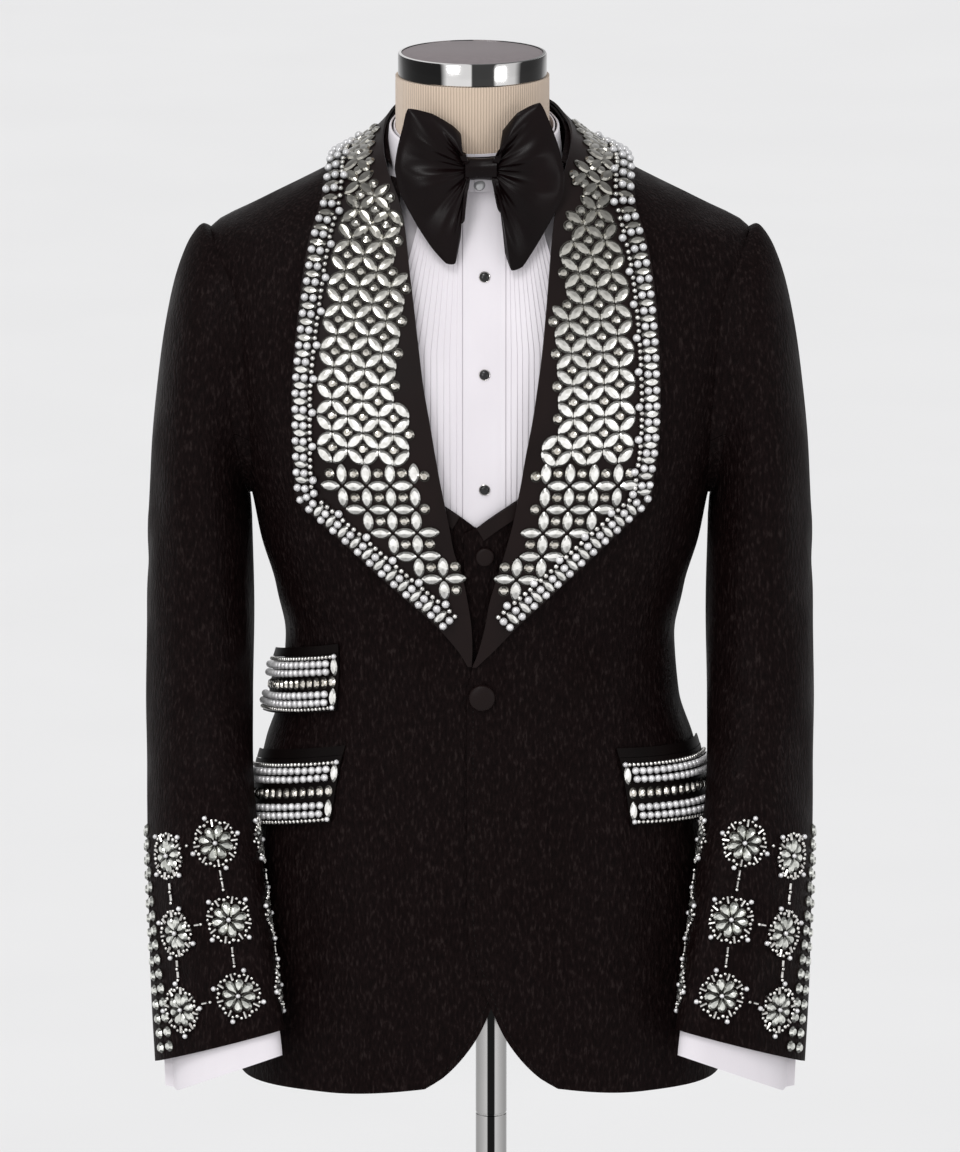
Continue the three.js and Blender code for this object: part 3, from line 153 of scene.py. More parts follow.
# Stand inside the shawl collar: foot, then head
COLLAR_STAND = np.array([
    (70.5, -45, 1476.5, 67.4, -40, 1479.5), (77, -24, 1484.5, 69.2, -24, 1487),
    (80, -2, 1490, 71, -2, 1497.2), (76.5, 22, 1490, 67.2, 23, 1504.2),
    (62.5, 44, 1490, 57.6, 47, 1510), (42, 62, 1490, 38.4, 63.8, 1514),
    (20, 71, 1490, 18.2, 70.6, 1516), (0, 73.4, 1490, 0, 72.2, 1516.4),
])

# Sleeve below the armpit: height, centre x and y, half depth, half width, turn in degrees
SLEEVE = np.array([
    (732, 205, -101, 64, 25.5, -55), (772, 207.5, -95, 64, 27, -54),
    (812, 211, -87.5, 63.5, 31.5, -50), (860, 215, -78.5, 62.5, 35.5, -43),
    (920, 219.5, -63, 61.5, 38.5, -33), (980, 223.5, -42, 61.5, 40, -20),
    (1040, 224.4, -20, 64, 42.4, -9), (1110, 223.4, -6, 68, 43, -2),
    (1185, 223.4, 0, 72, 41.4, 0),
])
ARMPIT_LEVEL_Z = 1185.0

# Rings of the sleeve head: inner x and height, outer x and height, half depth
SLEEVE_HEAD = np.array([
    (183, 1199, 263.4, 1214, 71.5), (184, 1203.5, 261.4, 1250, 70.5),
    (184.4, 1205, 257.4, 1290, 69), (184.6, 1205.5, 251.6, 1334, 67),
    (184.6, 1205.5, 243.6, 1374, 65.5), (184.4, 1205, 235, 1400, 64.5),
    (184, 1204.5, 227.5, 1414, 64), (183.6, 1204.2, 220.5, 1421, 63.4),
])
SLEEVE_TOP = len(SLEEVE_HEAD) + 2
SLEEVE_HEM_Z = 772.0
SLEEVE_HEM_SLANT = 21.0
TOP_SLEEVE = (-118 * RAD, 100 * RAD)
CUFF_ABOVE = 40.0
CUFF_BELOW = 21.0
CUFF_INSET = 4.6
CUFF_FIN = 15.0
CUFF_FIN_HALF_GAP = 0.25
CUFF_WALL = 1.2

# Soft creases of the jacket: from and to, each an angle in degrees and a height, then width and depth
CREASES = [
    (22, 1050, 62, 1000, 9, -0.9), (20, 1066, 66, 1082, 10, -0.8), (30, 1035, 58, 958, 12, -0.7),
    (60, 1120, 96, 1090, 14, -0.9), (100, 1060, 150, 1040, 14, -1.0), (110, 1100, 160, 1108, 12, -0.8),
    (42, 930, 50, 780, 18, -1.1), (76, 960, 80, 770, 20, -1.2), (126, 960, 130, 760, 22, -1.4),
    (150, 1240, 120, 1330, 16, -0.9), (160, 1380, 128, 1400, 12, -0.6),
]

# Creases of the sleeve at the elbow and forearm: turn and height at both ends, width and depth
SLEEVE_CREASES = [
    (-150, 1075, -60, 1040, 8, -1.6), (-160, 1030, -70, 1010, 8, -1.4),
    (-140, 1120, -80, 1125, 10, -1.3), (-120, 985, -40, 958, 9, -1.1),
    (-30, 1180, 20, 1130, 14, -0.9), (60, 1090, 130, 1050, 16, -0.9), (40, 990, 110, 950, 14, -0.8),
]

# Pocket flaps: node's first word, side, inner end, top, height, length, drop, stand-off
FLAPS = [
    ("ticket", -1, 111, 1091, 47, 106, 24, 7),
    ("right", -1, 108.5, 1009.5, 54, 118, 24, 1.5),
    ("left", 1, 110, 1007, 54, 118, 10, 1.5),
]
JET_HEIGHT = 7.5

# Bow tie wings, round the edge from above the knot, outwards and down
BOW_RIGHT_WING = np.array([
    (-12, 1503.8), (-21.2, 1513.1), (-37.6, 1522.5), (-56.6, 1526.4), (-61, 1511.6),
    (-65.1, 1495.2), (-67.2, 1479.5), (-62.4, 1459.3), (-49.6, 1435.8), (-37.6, 1417.9),
    (-26.8, 1406.4), (-19.4, 1406.4), (-15.2, 1425.7),
])
BOW_LEFT_WING = np.array([
    (17.6, 1509.3), (29.6, 1523.3), (47.2, 1531), (56, 1513.1), (62.4, 1495.2),
    (66.4, 1475.7), (65.4, 1459.3), (56, 1439.8), (44, 1419.5), (33.6, 1403.8),
    (24.8, 1400.9), (19.6, 1414),
])
BAND_RADIUS = 65.9
BAND_HEIGHT = 10.0
KNOT = Vector((0.8, -76.4, 1479.6))
KNOT_HALF_LENGTH = 12.4
KNOT_HALF_HEIGHT = 7.2
KNOT_HALF_DEPTH = 6.4
BOW_LEAN = 0.17
BOW_WALL = 3.0
BOW_BELLY = 8.0
BOW_FOLD = 2.4
BOW_ROUNDING = 0.45  # how far the wing's outline is rounded between its points

# Shirt
UNDERARM_Z = 1190.0  # the armholes of shirt and waistcoat begin here
SHIRT_HEM_Z = 850.0
SHIRT_NECK_DIP_FROM_Z = 1420.0
SHIRT_WALL = 1.0
SHIRT_OFF_FORM = 4.6
SHIRT_X = -4.5
SHIRT_Y = -3.0
FOLD_FRONT = 1489.5
FOLD_BACK = 1514.5
SHIRT_NECK_FRONT = 1459.0
SHIRT_NECK_BACK = 1479.0
PLEATS = 12
PLEAT_RISE = 0.8
PLEAT_FACE = 0.86  # share of a pleat that shows, before it turns under
PLACKET_X = 3.4
PLACKET_HALF = 17.0
COLLAR_RADIUS = 66.0
COLLAR_TAPER = 2.1
FALL_FOLD_RADIUS = 67.4
FALL_FOOT_RADIUS = 70.4
FALL_SPREAD = 13.5  # how much further out the collar's points stand
FALL_DEPTH = 28.0
FALL_POINTS = 16.0
FALL_TURNS = (18.0, 346.0)
BIB_BOTTOM = 1180.0
BIB_HALF = 76.0
BIB_TOP_HALF = 44.0
BIB_TAPER_FROM = 1340.0
BIB_TUCK = 4.0  # how far the bib runs up behind the collar's stand
STUD_Z = (1229.5, 1322.4, 1396.8)
COLLAR_BUTTON_Z = 1466.5

# Waistcoat's neck edge: height and distance from its own centre line
VEST_EDGE = np.array([
    (1199, 0.6), (1207, 11), (1218, 27), (1232, 47), (1255, 64), (1300, 76), (1350, 84),
    (1400, 90), (1470, 86),
])
VEST_X = -3.5
VEST_POINT = 22.0
VEST_LAP = 9.0
VEST_WALL = 1.3
VEST_LIFT = 1.9
VEST_STRIP = 11.0
VEST_BUTTON_Z = 1175.5
VEST_HEM_Z = 884.0
VEST_TOP_Z = 1468.0
VEST_BACK_TOP_Z = 1474.0
VEST_POINT_RISE = 46.0
VEST_POINT_AT = 0.18  # share of the front's width where its point hangs lowest
VEST_POINT_REACH = 0.25

# Stones of the lapels, each with its length, width and height
PETAL_PITCH = 18.0  # between the nodes of the stone lattice
PETAL = (16.3, 8.4, 2.9)
ROUND_STONE = (8.2, 3.1)  # across and high
PEARL = 6.4
BORDER_SEED = 4.3
BORDER_STEP = 6.3  # from a pair of pearls to the next crosswise navette
BORDER_SEED_STEP = 5.4
BORDER_NAVETTE = (13.4, 6.7, 2.7)
BORDER_PEARLS_IN = (5.0, 12.0)  # how far in from the edge the rows of the border lie
BORDER_NAVETTES_IN = 8.3
BORDER_SEEDS_IN = 17.3
LONE_PEARLS_IN = 19.7
BORDER_FOOT_Z = 1112.0

# Lattice of the lapels' stones
LAPEL_FRONT_SHARE = 17 / 25  # share of the lapel's rows that lie in front of the shoulder seam
LATTICE_COLUMN_SHARE = 0.6  # where across the lapel the lattice is measured along
LATTICE_MARGIN = 5.0  # left free before the first nodes and behind the last ones
LATTICE_OUTER = 23.0  # least distance of a stone's middle from the outer edge
LATTICE_FIRST = 33.5  # first full column of nodes, in from the outer edge
LOWER_NODE = (28.6, 1158.8)  # one node of the upright lattice in the lower part
LOWER_OUT = (18.9, -1.0)  # from one node to the next, outwards and upwards
LOWER_UP = (1.0, 19.4)
LOWER_COLUMNS = 5
ROLL_STONES = [(43.5, 1216.5), (43.8, 1243.0)]  # round stones by the roll, off the lattice
LOWER_TOP_Z = 1246.0  # the lattice stands upright below, and at 45 degrees above
LATTICE_SLACK = 6.3  # how far the last column may pass the limit
STONE_TO_FOLD = 9.0  # least distance from the last column to the roll, round the neck
LATTICE_BACK_Y = 32.0  # it ends here, behind the shoulder
LATTICE_TO_EDGE = 18.5  # least distance from a stone's middle to the edge, in the lower part

# Inner limit of the stones: height and distance from the middle
STONE_LIMIT = np.array([
    [1100.0, 22.0], [1143, 22], [1148, 15.5], [1165, 17.5], [1175, 21], [1184, 30], [1202, 37],
    [1206, 43], [1235, 45], [1250, 48], [1268, 52], [1316, 62], [1380, 62], [1442, 65.6], [1492, 70],
])
# The greying of the stones towards the shoulder is painted shade.
GREY_FROM_Z = 1290.0  # the stones grow greyer from here up
GREY_TO_Z = 1440.0

# Beads of the flaps and sleeves
FLAP_PEARL = 6.2
FLAP_PEARL_STEP = 6.5
FLAP_PEARLS_IN = (5.1, 11.8)  # how far in from the line of seeds
FLAP_NAVETTE = (15.0, 6.2, 2.6)
FLAP_OVAL = (8.6, 6.4, 3.0)
FLOWER_RADIUS = 22.0
FLOWER_PETAL = (11.0, 11.8)  # lengths, in turn
FLOWER_SEEDS = ((0.0, 16.4, 3.3), (0.2, 18.0, 2.7), (-0.2, 18.0, 2.7))  # turn, reach and size
FLOWER_LIFTS = (35.0, 93.0, 151.0)  # above the sleeve's hem
FLOWER_TURNS = (-47.0, -57.0, -64.0)  # turn of the main column's flowers, from the hem up
FLOWER_COLUMNS = (0.0, 57.0, 165.0, 222.0, 286.0)  # degrees on from the main column
CABOCHON_COLUMNS = (88.0, 101.0)


def along(table, column, z):
    """A table's column read at heights z, on a smooth curve that never overshoots its rows."""
    keys, values = table[:, 0], table[:, column]
    slope = np.diff(values) / np.diff(keys)
    before, after = slope[:-1], slope[1:]
    bend = np.where(before * after > 0, 2 * before * after, 0)
    total = np.where(before * after > 0, before + after, 1)
    tangent = np.concatenate([slope[:1], bend / total, slope[-1:]])
    z = np.clip(np.asarray(z, float), keys[0], keys[-1])
    i = np.clip(np.searchsorted(keys, z) - 1, 0, len(keys) - 2)
    span = keys[i + 1] - keys[i]
    t = (z - keys[i]) / span
    return ((2 * t**3 - 3 * t**2 + 1) * values[i] + (t**3 - 2 * t**2 + t) * span * tangent[i]
            + (3 * t**2 - 2 * t**3) * values[i + 1] + (t**3 - t**2) * span * tangent[i + 1])


def step(low, high, x):
    t = np.clip((x - low) / (high - low), 0, 1)
    return t * t * (3 - 2 * t)


def points(x, y, z):
    return np.stack(np.broadcast_arrays(np.asarray(x, float), y, z), -1)


def unit(v):
    return v / np.maximum(np.linalg.norm(v, axis=-1, keepdims=True), 1e-9)


def ring_point(table, angle, z):
    """Point round a section: angle 0 is the centre front, 90 degrees the side."""
    width, front, back, power = (along(table, c, z) for c in (1, 2, 3, 4))
    sine, cosine = np.sin(angle), np.cos(angle)
    depth = np.where(cosine >= 0, front, back)
    x = width * np.sign(sine) * np.abs(sine) ** (2 / power)
    y = -depth * np.sign(cosine) * np.abs(cosine) ** (2 / power)
    if table.shape[1] > 5:
        x = x + along(table, 5, z)
        y = y + along(table, 6, z)
    return points(x, y, z)


def body_field(x, y, z):
    """Below 0 inside the jacket's body, above 0 outside it."""
    width, front, back, power = (along(TORSO, c, z) for c in (1, 2, 3, 4))
    depth = np.where(y < 0, front, back)
    return (np.abs(x) / width) ** power + (np.abs(y) / depth) ** power - 1


def body_slope(p):
    """Change of the body's field over one millimetre, along each axis."""
    e = 0.5
    x, y, z = p[..., 0], p[..., 1], p[..., 2]
    return points(
        body_field(x + e, y, z) - body_field(x - e, y, z),
        body_field(x, y + e, z) - body_field(x, y - e, z),
        body_field(x, y, z + e) - body_field(x, y, z - e),
    )


def body_normal(p):
    return unit(body_slope(p))


def drape(angle, z):
    """How far soft folds move the cloth out at an angle round the body and a height."""
    degrees = np.abs(angle) / RAD
    arc = 2.6  # millimetres a degree, round the body
    out = 0.0 * degrees
    for a0, z0, a1, z1, width, depth in CREASES:
        run = np.array([(a1 - a0) * arc, z1 - z0])
        length = np.linalg.norm(run)
        run = run / length
        da, dz = (degrees - a0) * arc, z - z0
        s = (da * run[0] + dz * run[1]) / length
        across = -da * run[1] + dz * run[0] + 4 * np.sin(3 * s)
        ends = np.clip(1 - (2 * s - 1) ** 2, 0, 1)
        out = out + depth * ends * np.exp(-((across / width) ** 2))
        out = out - 0.5 * depth * ends * np.exp(-(((across - 1.7 * width) / width) ** 2))
    skirt = step(960, 780, z)
    return out + skirt * 1.1 * np.sin(degrees * RAD * 7 + 0.6) * step(24, 50, degrees)


def on_body(angle, z, out=0.0):
    """Point of the jacket's body, a distance out from it, with its soft folds."""
    p = ring_point(TORSO, angle, z)
    return p + body_normal(p) * (np.asarray(out) + drape(angle, z))[..., None]


def angle_at(x, z):
    """Angle of the front point whose distance from the middle is x."""
    share = np.minimum(1, np.abs(x) / along(TORSO, 1, z)) ** (along(TORSO, 4, z) / 2)
    return np.sign(x) * np.arcsin(share)


def armhole_angle(z, behind):
    middle = (ARMHOLE_TOP + ARMHOLE_BOTTOM) / 2
    half = (ARMHOLE_TOP - ARMHOLE_BOTTOM) / 2
    t = np.minimum(1, np.abs(z - middle) / half)
    y = ARMHOLE_HALF_DEPTH * (1 - t**ARMHOLE_POWER) ** (1 / ARMHOLE_POWER)
    depth = along(TORSO, 3 if behind else 2, z)
    angle = np.arccos(np.clip(y / depth, 0, 1) ** (along(TORSO, 4, z) / 2))
    return np.pi - angle if behind else angle


def armhole_height(angle):
    """Height where the lower half of the armhole passes an angle round the body."""
    z = np.linspace(ARMHOLE_BOTTOM, (ARMHOLE_TOP + ARMHOLE_BOTTOM) / 2, 4000)
    before = np.interp(-np.minimum(angle, np.pi / 2), -armhole_angle(z, False), z)
    behind = np.interp(np.maximum(angle, np.pi / 2), armhole_angle(z, True), z)
    return np.where(angle <= np.pi / 2, before, behind)


def armhole_point(turn, out):
    p = 2 / ARMHOLE_POWER
    half = (ARMHOLE_TOP - ARMHOLE_BOTTOM) / 2
    z = ARMHOLE_BOTTOM + half + half * np.sign(np.cos(turn)) * np.abs(np.cos(turn)) ** p
    y = ARMHOLE_HALF_DEPTH * np.sign(np.sin(turn)) * np.abs(np.sin(turn)) ** p
    depth = np.where(y < 0, along(TORSO, 2, z), along(TORSO, 3, z))
    power = along(TORSO, 4, z)
    x = along(TORSO, 1, z) * (1 - (np.abs(y) / depth) ** power) ** (1 / power)
    return points(x + out, y, z)


def front_edge(z, left):
    below = along(FRONT_EDGE, 1, z) - (0 if left else 2 * CUTAWAY_AXIS_X)
    roll = along(LAPEL, 3 if left else 1, z) + 1.5
    return below + (roll - below) * step(BUTTON_Z, BUTTON_Z + 35, z)


def front_lift(x, left):
    return OVERLAP * step(72, 32, x) if left else 0 * x


def vest_lift(x, left):
    return VEST_LIFT * np.clip((58 - x) / 28, 0, 1) if left else 0 * x


def armhole_reach(z, behind, top_z, inset):
    """How far the armhole of shirt or waistcoat reaches from the side, as an angle."""
    turn = armhole_angle(np.clip(z, 1240, top_z), behind) + (inset if behind else -inset)
    return (turn - np.pi / 2) * np.clip((z - UNDERARM_Z) / 50, 0, 1)


def through(p0, p1, p2, p3, t):
    """Smooth curve through four points, between the middle two."""
    return 0.5 * (2 * p1 + (p2 - p0) * t + (2 * p0 - 5 * p1 + 4 * p2 - p3) * t * t
                  + (3 * p1 - p0 - 3 * p2 + p3) * t**3)


def onto_body(p, out):
    """Moves points level with the floor to the body, then a distance out from it."""
    low = np.full(p.shape[:-1], 0.2)
    high = np.full(p.shape[:-1], 4.0)
    for _ in range(34):
        middle = (low + high) / 2
        inside = body_field(p[..., 0] * middle, p[..., 1] * middle, p[..., 2]) < 0
        low = np.where(inside, middle, low)
        high = np.where(inside, high, middle)
    q = p * points(low, low, 1 + 0 * low)
    return q + body_normal(q) * out


def clear_of_body(p, least):
    """Lifts the points that lie nearer to the body than a distance, and leaves the others."""
    for _ in range(4):
        slope = body_slope(p)
        steep = np.maximum(np.linalg.norm(slope, axis=-1), 1e-6)
        short = np.clip(least - body_field(p[..., 0], p[..., 1], p[..., 2]) / steep, 0, 6)
        p = p + slope * (short / steep)[..., None]
    return p


def lapel_surface(across, along01, left):
    """Grid of the shawl collar: across from the fold to the edge, along from the tip to the back."""
    rows = []
    for k, row in enumerate(LAPEL):
        z = row[0] + 0 * across
        roll, outer = (row[3], row[4]) if left else (row[1], row[2])
        angle = angle_at(roll + (outer - roll) * across, z)
        p = ring_point(TORSO, angle, z)
        shoulder = max(0, k + 2 - len(LAPEL)) * 0.7
        out = LAPEL_OUT + shoulder + front_lift(p[:, 0], left) + drape(angle, z)
        rows.append(p + body_normal(p) * out[:, None])
    clear = LAPEL_OUT + 1.3
    for row in COLLAR:
        lean = (1 if left else -1) * COLLAR_LEAN_X * min(1, row[0] / 40)
        fold = np.array([row[0] + lean, row[1], row[2]])
        edge = onto_body(row[None, 3:6], clear)[0]
        p = fold + (edge - fold) * across[:, None]
        p[:, 2] += 3 * np.sin(np.pi * across)
        rows.append(clear_of_body(p, clear))
    last = len(rows) - 1
    grid = []
    for at in along01 * last:
        k = min(last - 1, int(at))
        p = through(rows[max(0, k - 1)], rows[k], rows[k + 1], rows[min(last, k + 2)], at - k)
        p[:, 0] = np.maximum(p[:, 0], SEAM_GAP / 2 if at > len(LAPEL) else -20)
        least = LAPEL_OUT + step(len(LAPEL) - 4, len(LAPEL), at)
        grid.append(clear_of_body(p, least) if at > len(LAPEL) - 4 else p)
    return np.array(grid)


def sleeve_section(turn, z, inset=0.0):
    angle = along(SLEEVE, 5, z) * RAD
    outward = (along(SLEEVE, 4, z) - inset) * np.cos(turn)
    backward = (along(SLEEVE, 3, z) - inset) * np.sin(turn)
    return points(
        along(SLEEVE, 1, z) + outward * np.cos(angle) - backward * np.sin(angle),
        along(SLEEVE, 2, z) + outward * np.sin(angle) + backward * np.cos(angle),
        z,
    )


def sleeve_crease(turn, z):
    degrees = (turn / RAD + 180) % 360 - 180
    out = 0 * degrees
    for a0, z0, a1, z1, width, depth in SLEEVE_CREASES:
        s = np.clip((degrees - a0) / (a1 - a0), 0, 1)
        across = z - (z0 + (z1 - z0) * s) + 3 * np.sin(4 * s)
        out = out + depth * np.sin(np.pi * s) * np.exp(-((across / width) ** 2))
        out = out - 0.6 * depth * np.sin(np.pi * s) * np.exp(-(((across - 1.8 * width) / width) ** 2))
    return out


def sleeve_surface(turns, levels):
    """Grid of the sleeve: levels 0 to 1 reach the armpit, then one for each ring of the head."""
    rings = [sleeve_section(turns, ARMPIT_LEVEL_Z + 0 * turns)]
    out = (1 + np.cos(turns)) / 2
    for in_x, in_z, out_x, out_z, depth in SLEEVE_HEAD:
        rings.append(points(in_x + (out_x - in_x) * out, depth * np.sin(turns),
                            in_z + (out_z - in_z) * out))
    rings.append(armhole_point(turns, -0.2))
    below = 2 * rings[0] - rings[1]
    rings = [below, *rings, rings[-1]]
    grid = []
    hem = SLEEVE_HEM_Z - SLEEVE_HEM_SLANT * np.sin(turns)
    for level in levels:
        if level <= 1:
            grid.append(sleeve_section(turns, hem + (ARMPIT_LEVEL_Z - hem) * level))
            continue
        k = min(len(SLEEVE_HEAD), int(level - 1))
        grid.append(through(rings[k], rings[k + 1], rings[k + 2], rings[k + 3], level - 1 - k))
    p = np.array(grid)
    normals = grid_normals(p)
    low = np.clip(2 - np.asarray(levels), 0, 1)[:, None]
    moved = sleeve_crease(turns[None, :] + 0 * p[..., 0], p[..., 2]) * low
    return p + normals * moved[..., None]


def neck_point(angle, radius, z):
    return points(SHIRT_X + radius * np.sin(angle), SHIRT_Y - radius * np.cos(angle), z)


def fold_height(angle):
    return FOLD_FRONT + (FOLD_BACK - FOLD_FRONT) * (1 - np.cos(angle)) / 2


def grid_normals(grid):
    """Normals of a grid of points, right-handed from its columns to its rows."""
    return unit(np.cross(np.gradient(grid, axis=1), np.gradient(grid, axis=0)))


def mirrored(p):
    return p * np.array([-1.0, 1.0, 1.0])


# Materials

class Look:
    """Material whose sockets are fed by noise, ramps and bumps."""

    def __init__(self, name, **values):
        self.material = bpy.data.materials.new(name)
        self.material.use_nodes = True
        self.nodes = self.material.node_tree.nodes
        self.links = self.material.node_tree.links
        self.feed(**values)

    def put(self, socket, value):
        """Sets a socket to a value, or links it to another node's output."""
        if isinstance(value, bpy.types.NodeSocket):
            self.links.new(value, socket)
        else:
            socket.default_value = value

    def fill(self, node, **inputs):
        for name, value in inputs.items():
            self.put(node.inputs[name.replace("_", " ")], value)
        return node

    def feed(self, **inputs):
        self.fill(self.nodes["Principled BSDF"], **inputs)

    def node(self, kind, **inputs):
        return self.fill(self.nodes.new(kind), **inputs)

    def place(self):
        """The object's own coordinates, in metres."""
        return self.nodes.new("ShaderNodeTexCoord").outputs["Object"]

    def noise(self, scale, stretch=(1, 1, 1), detail=4.0):
        where = self.node("ShaderNodeMapping", Vector=self.place(), Scale=stretch).outputs["Vector"]
        return self.node("ShaderNodeTexNoise", Vector=where, Scale=scale, Detail=detail).outputs["Fac"]

    def ramp(self, fac, stops):
        made = self.node("ShaderNodeValToRGB", Fac=fac)
        elements = made.color_ramp.elements
        elements[0].position, elements[0].color = stops[0][0], (*stops[0][1], 1)
        elements[1].position, elements[1].color = stops[-1][0], (*stops[-1][1], 1)
        for position, colour in stops[1:-1]:
            element = elements.new(position)
            element.color = (*colour, 1)
        return made.outputs["Color"]

    def greys(self, fac, stops):
        return self.ramp(fac, [(at, (tone,) * 3) for at, tone in stops])

    def bump(self, height, strength, distance, before=None):
        made = self.node("ShaderNodeBump", Height=height, Strength=strength, Distance=distance)
        if before:
            self.fill(made, Normal=before)
        return made.outputs["Normal"]

    def calc(self, operation, *values):
        made = self.nodes.new("ShaderNodeMath")
        made.operation = operation
        for socket, value in zip(made.inputs, values):
            self.put(socket, value)
        return made.outputs[0]

    def mixed(self, first, second, factor=1.0, blend="MULTIPLY"):
        made = self.nodes.new("ShaderNodeMix")
        made.data_type = "RGBA"
        made.blend_type = blend
        return self.fill(made, Factor=factor, A=first, B=second).outputs["Result"]

    def facing(self, axis):
        """How far a face points along a world axis, from 0 for its minus side to 1 for its plus side."""
        normal = self.nodes.new("ShaderNodeNewGeometry").outputs["Normal"]
        along_axis = self.node("ShaderNodeSeparateXYZ", Vector=normal).outputs[axis]
        return self.node("ShaderNodeMapRange", Value=along_axis, From_Min=-1.0).outputs["Result"]


def crinkled_jacquard():
    look = Look("crinkled_jacquard", Specular_IOR_Level=0.045)
    streak = look.noise(440.0, (1, 1, 0.36), 3.0)
    patch = look.noise(26.0, (1, 1, 0.5), 2.0)
    fine = look.noise(900.0, (1, 1, 0.5), 2.0)
    colour = look.ramp(streak, [(0.36, (0.0028, 0.0011, 0.0011)), (0.56, (0.0054, 0.0024, 0.0024)),
                                (0.74, (0.0165, 0.0110, 0.0105))])
    look.feed(Base_Color=colour, Roughness=look.greys(patch, [(0.3, 0.42), (0.7, 0.7)]),
              Normal=look.bump(fine, 0.35, 0.0005, look.bump(streak, 0.9, 0.0012)))
    return look.material


def satin(name, dark, light, roughness, gloss, grain=(1, 1, 0.15), relief=0.12):
    look = Look(name, Specular_IOR_Level=gloss)
    thread = look.noise(1400.0, grain, 2.0)
    cloud = look.noise(18.0, (1, 1, 0.6), 3.0)
    look.feed(Base_Color=look.ramp(cloud, [(0.35, dark), (0.7, light)]),
              Roughness=look.greys(thread, [(0.3, roughness), (0.7, roughness + 0.12)]),
              Normal=look.bump(thread, relief, 0.0003))
    return look.material


def cotton():
    look = Look("white_cotton", Roughness=0.8, Sheen_Weight=0.1, Specular_IOR_Level=0.3)
    weave = look.node("ShaderNodeTexWave", Vector=look.place(), Scale=420.0, Distortion=1.5)
    weave.bands_direction = "Z"
    cloud = look.noise(14.0, (1, 1, 0.4), 3.0)
    grain = look.bump(look.noise(1100.0, (1, 1, 0.3), 2.0), 0.25, 0.0003)
    look.feed(Base_Color=look.ramp(cloud, [(0.3, (0.68, 0.645, 0.68)), (0.7, (0.76, 0.725, 0.76))]),
              Normal=look.bump(weave.outputs["Fac"], 0.12, 0.0002, grain))
    return look.material


def ribbed_jersey():
    look = Look("ribbed_jersey", Roughness=0.85, Sheen_Weight=0.25, Specular_IOR_Level=0.25)
    split = look.node("ShaderNodeSeparateXYZ", Vector=look.place()).outputs
    turn = look.calc("ARCTAN2", split["X"], split["Y"])
    ribs = look.calc("SINE", look.calc("MULTIPLY", turn, NECK_RIBS))
    yarn = look.bump(look.noise(1500.0, (1, 1, 2), 2.0), 0.3, 0.0003)
    # The colour follows the ribs: the jersey's own cream, painted darker in the rib hollows as shade.
    look.feed(Base_Color=look.ramp(ribs, [(0.0, (0.52, 0.41, 0.315)), (0.8, (0.72, 0.585, 0.47))]),
              Normal=look.bump(ribs, 0.5, 0.0005, yarn))
    return look.material


def reflection_banded_metal(name, bands, roughness):
    """Polished steel with painted reflections: the light and dark bands that a studio's screens give
    upright faces.
    """
    look = Look(name, Metallic=1.0)
    cloud = look.noise(50.0, (1, 1, 0.2), 3.0)
    shades = look.ramp(look.facing("X"), [(at, (tone, tone * 0.985, tone * 0.97)) for at, tone in bands])
    look.feed(Base_Color=look.mixed(shades, look.greys(cloud, [(0.3, 0.93), (0.7, 1.0)])),
              Roughness=look.greys(cloud, [(0.3, roughness), (0.7, roughness * 1.4)]))
    return look.material


def metal(name, low, high, roughness, stretch=(1, 1, 1), scale=60.0):
    look = Look(name, Metallic=1.0)
    cloud = look.noise(scale, stretch, 3.0)
    look.feed(Base_Color=look.ramp(cloud, [(0.3, low), (0.7, high)]),
              Roughness=look.greys(cloud, [(0.3, roughness), (0.7, roughness * 1.5)]))
    return look.material


def enamel(name, low, high, roughness):
    look = Look(name)
    cloud = look.noise(240.0)
    look.feed(Base_Color=look.ramp(cloud, [(0.3, low), (0.7, high)]),
              Roughness=look.greys(cloud, [(0.3, roughness), (0.7, roughness + 0.1)]))
    return look.material


def glazed(name, shades, low, high, upper, roughness, metallic=0.9, foil=1.0):
    """Foiled stone or pearl, with painted light and shade by the way each facet points, and greyer towards
    the shoulder as painted shade.
    """
    look = Look(name, Coat_Weight=0.5)
    z = look.node("ShaderNodeSeparateXYZ", Vector=look.place()).outputs["Z"]
    height = look.node("ShaderNodeMapRange", Value=z, From_Min=GREY_FROM_Z * METRES,
                       From_Max=GREY_TO_Z * METRES).outputs["Result"]
    cloud = look.noise(210.0, detail=1.0)
    colour = look.mixed(look.ramp(cloud, [(0.35, low), (0.65, high)]),
                        look.ramp(cloud, [(0.35, tuple(c * 0.8 for c in upper)), (0.65, upper)]),
                        height, "MIX")
    look.feed(Base_Color=look.mixed(colour, look.greys(look.facing("Z"), shades)),
              Metallic=look.greys(height, [(0, metallic * foil), (1, metallic)]),
              Roughness=look.greys(cloud, [(0.3, roughness), (0.7, roughness * 2.2)]))
    return look.material


JACQUARD = crinkled_jacquard()
SATIN = satin("black_satin", (0.0060, 0.0030, 0.0028), (0.0110, 0.0056, 0.0052), 0.40, 0.12)
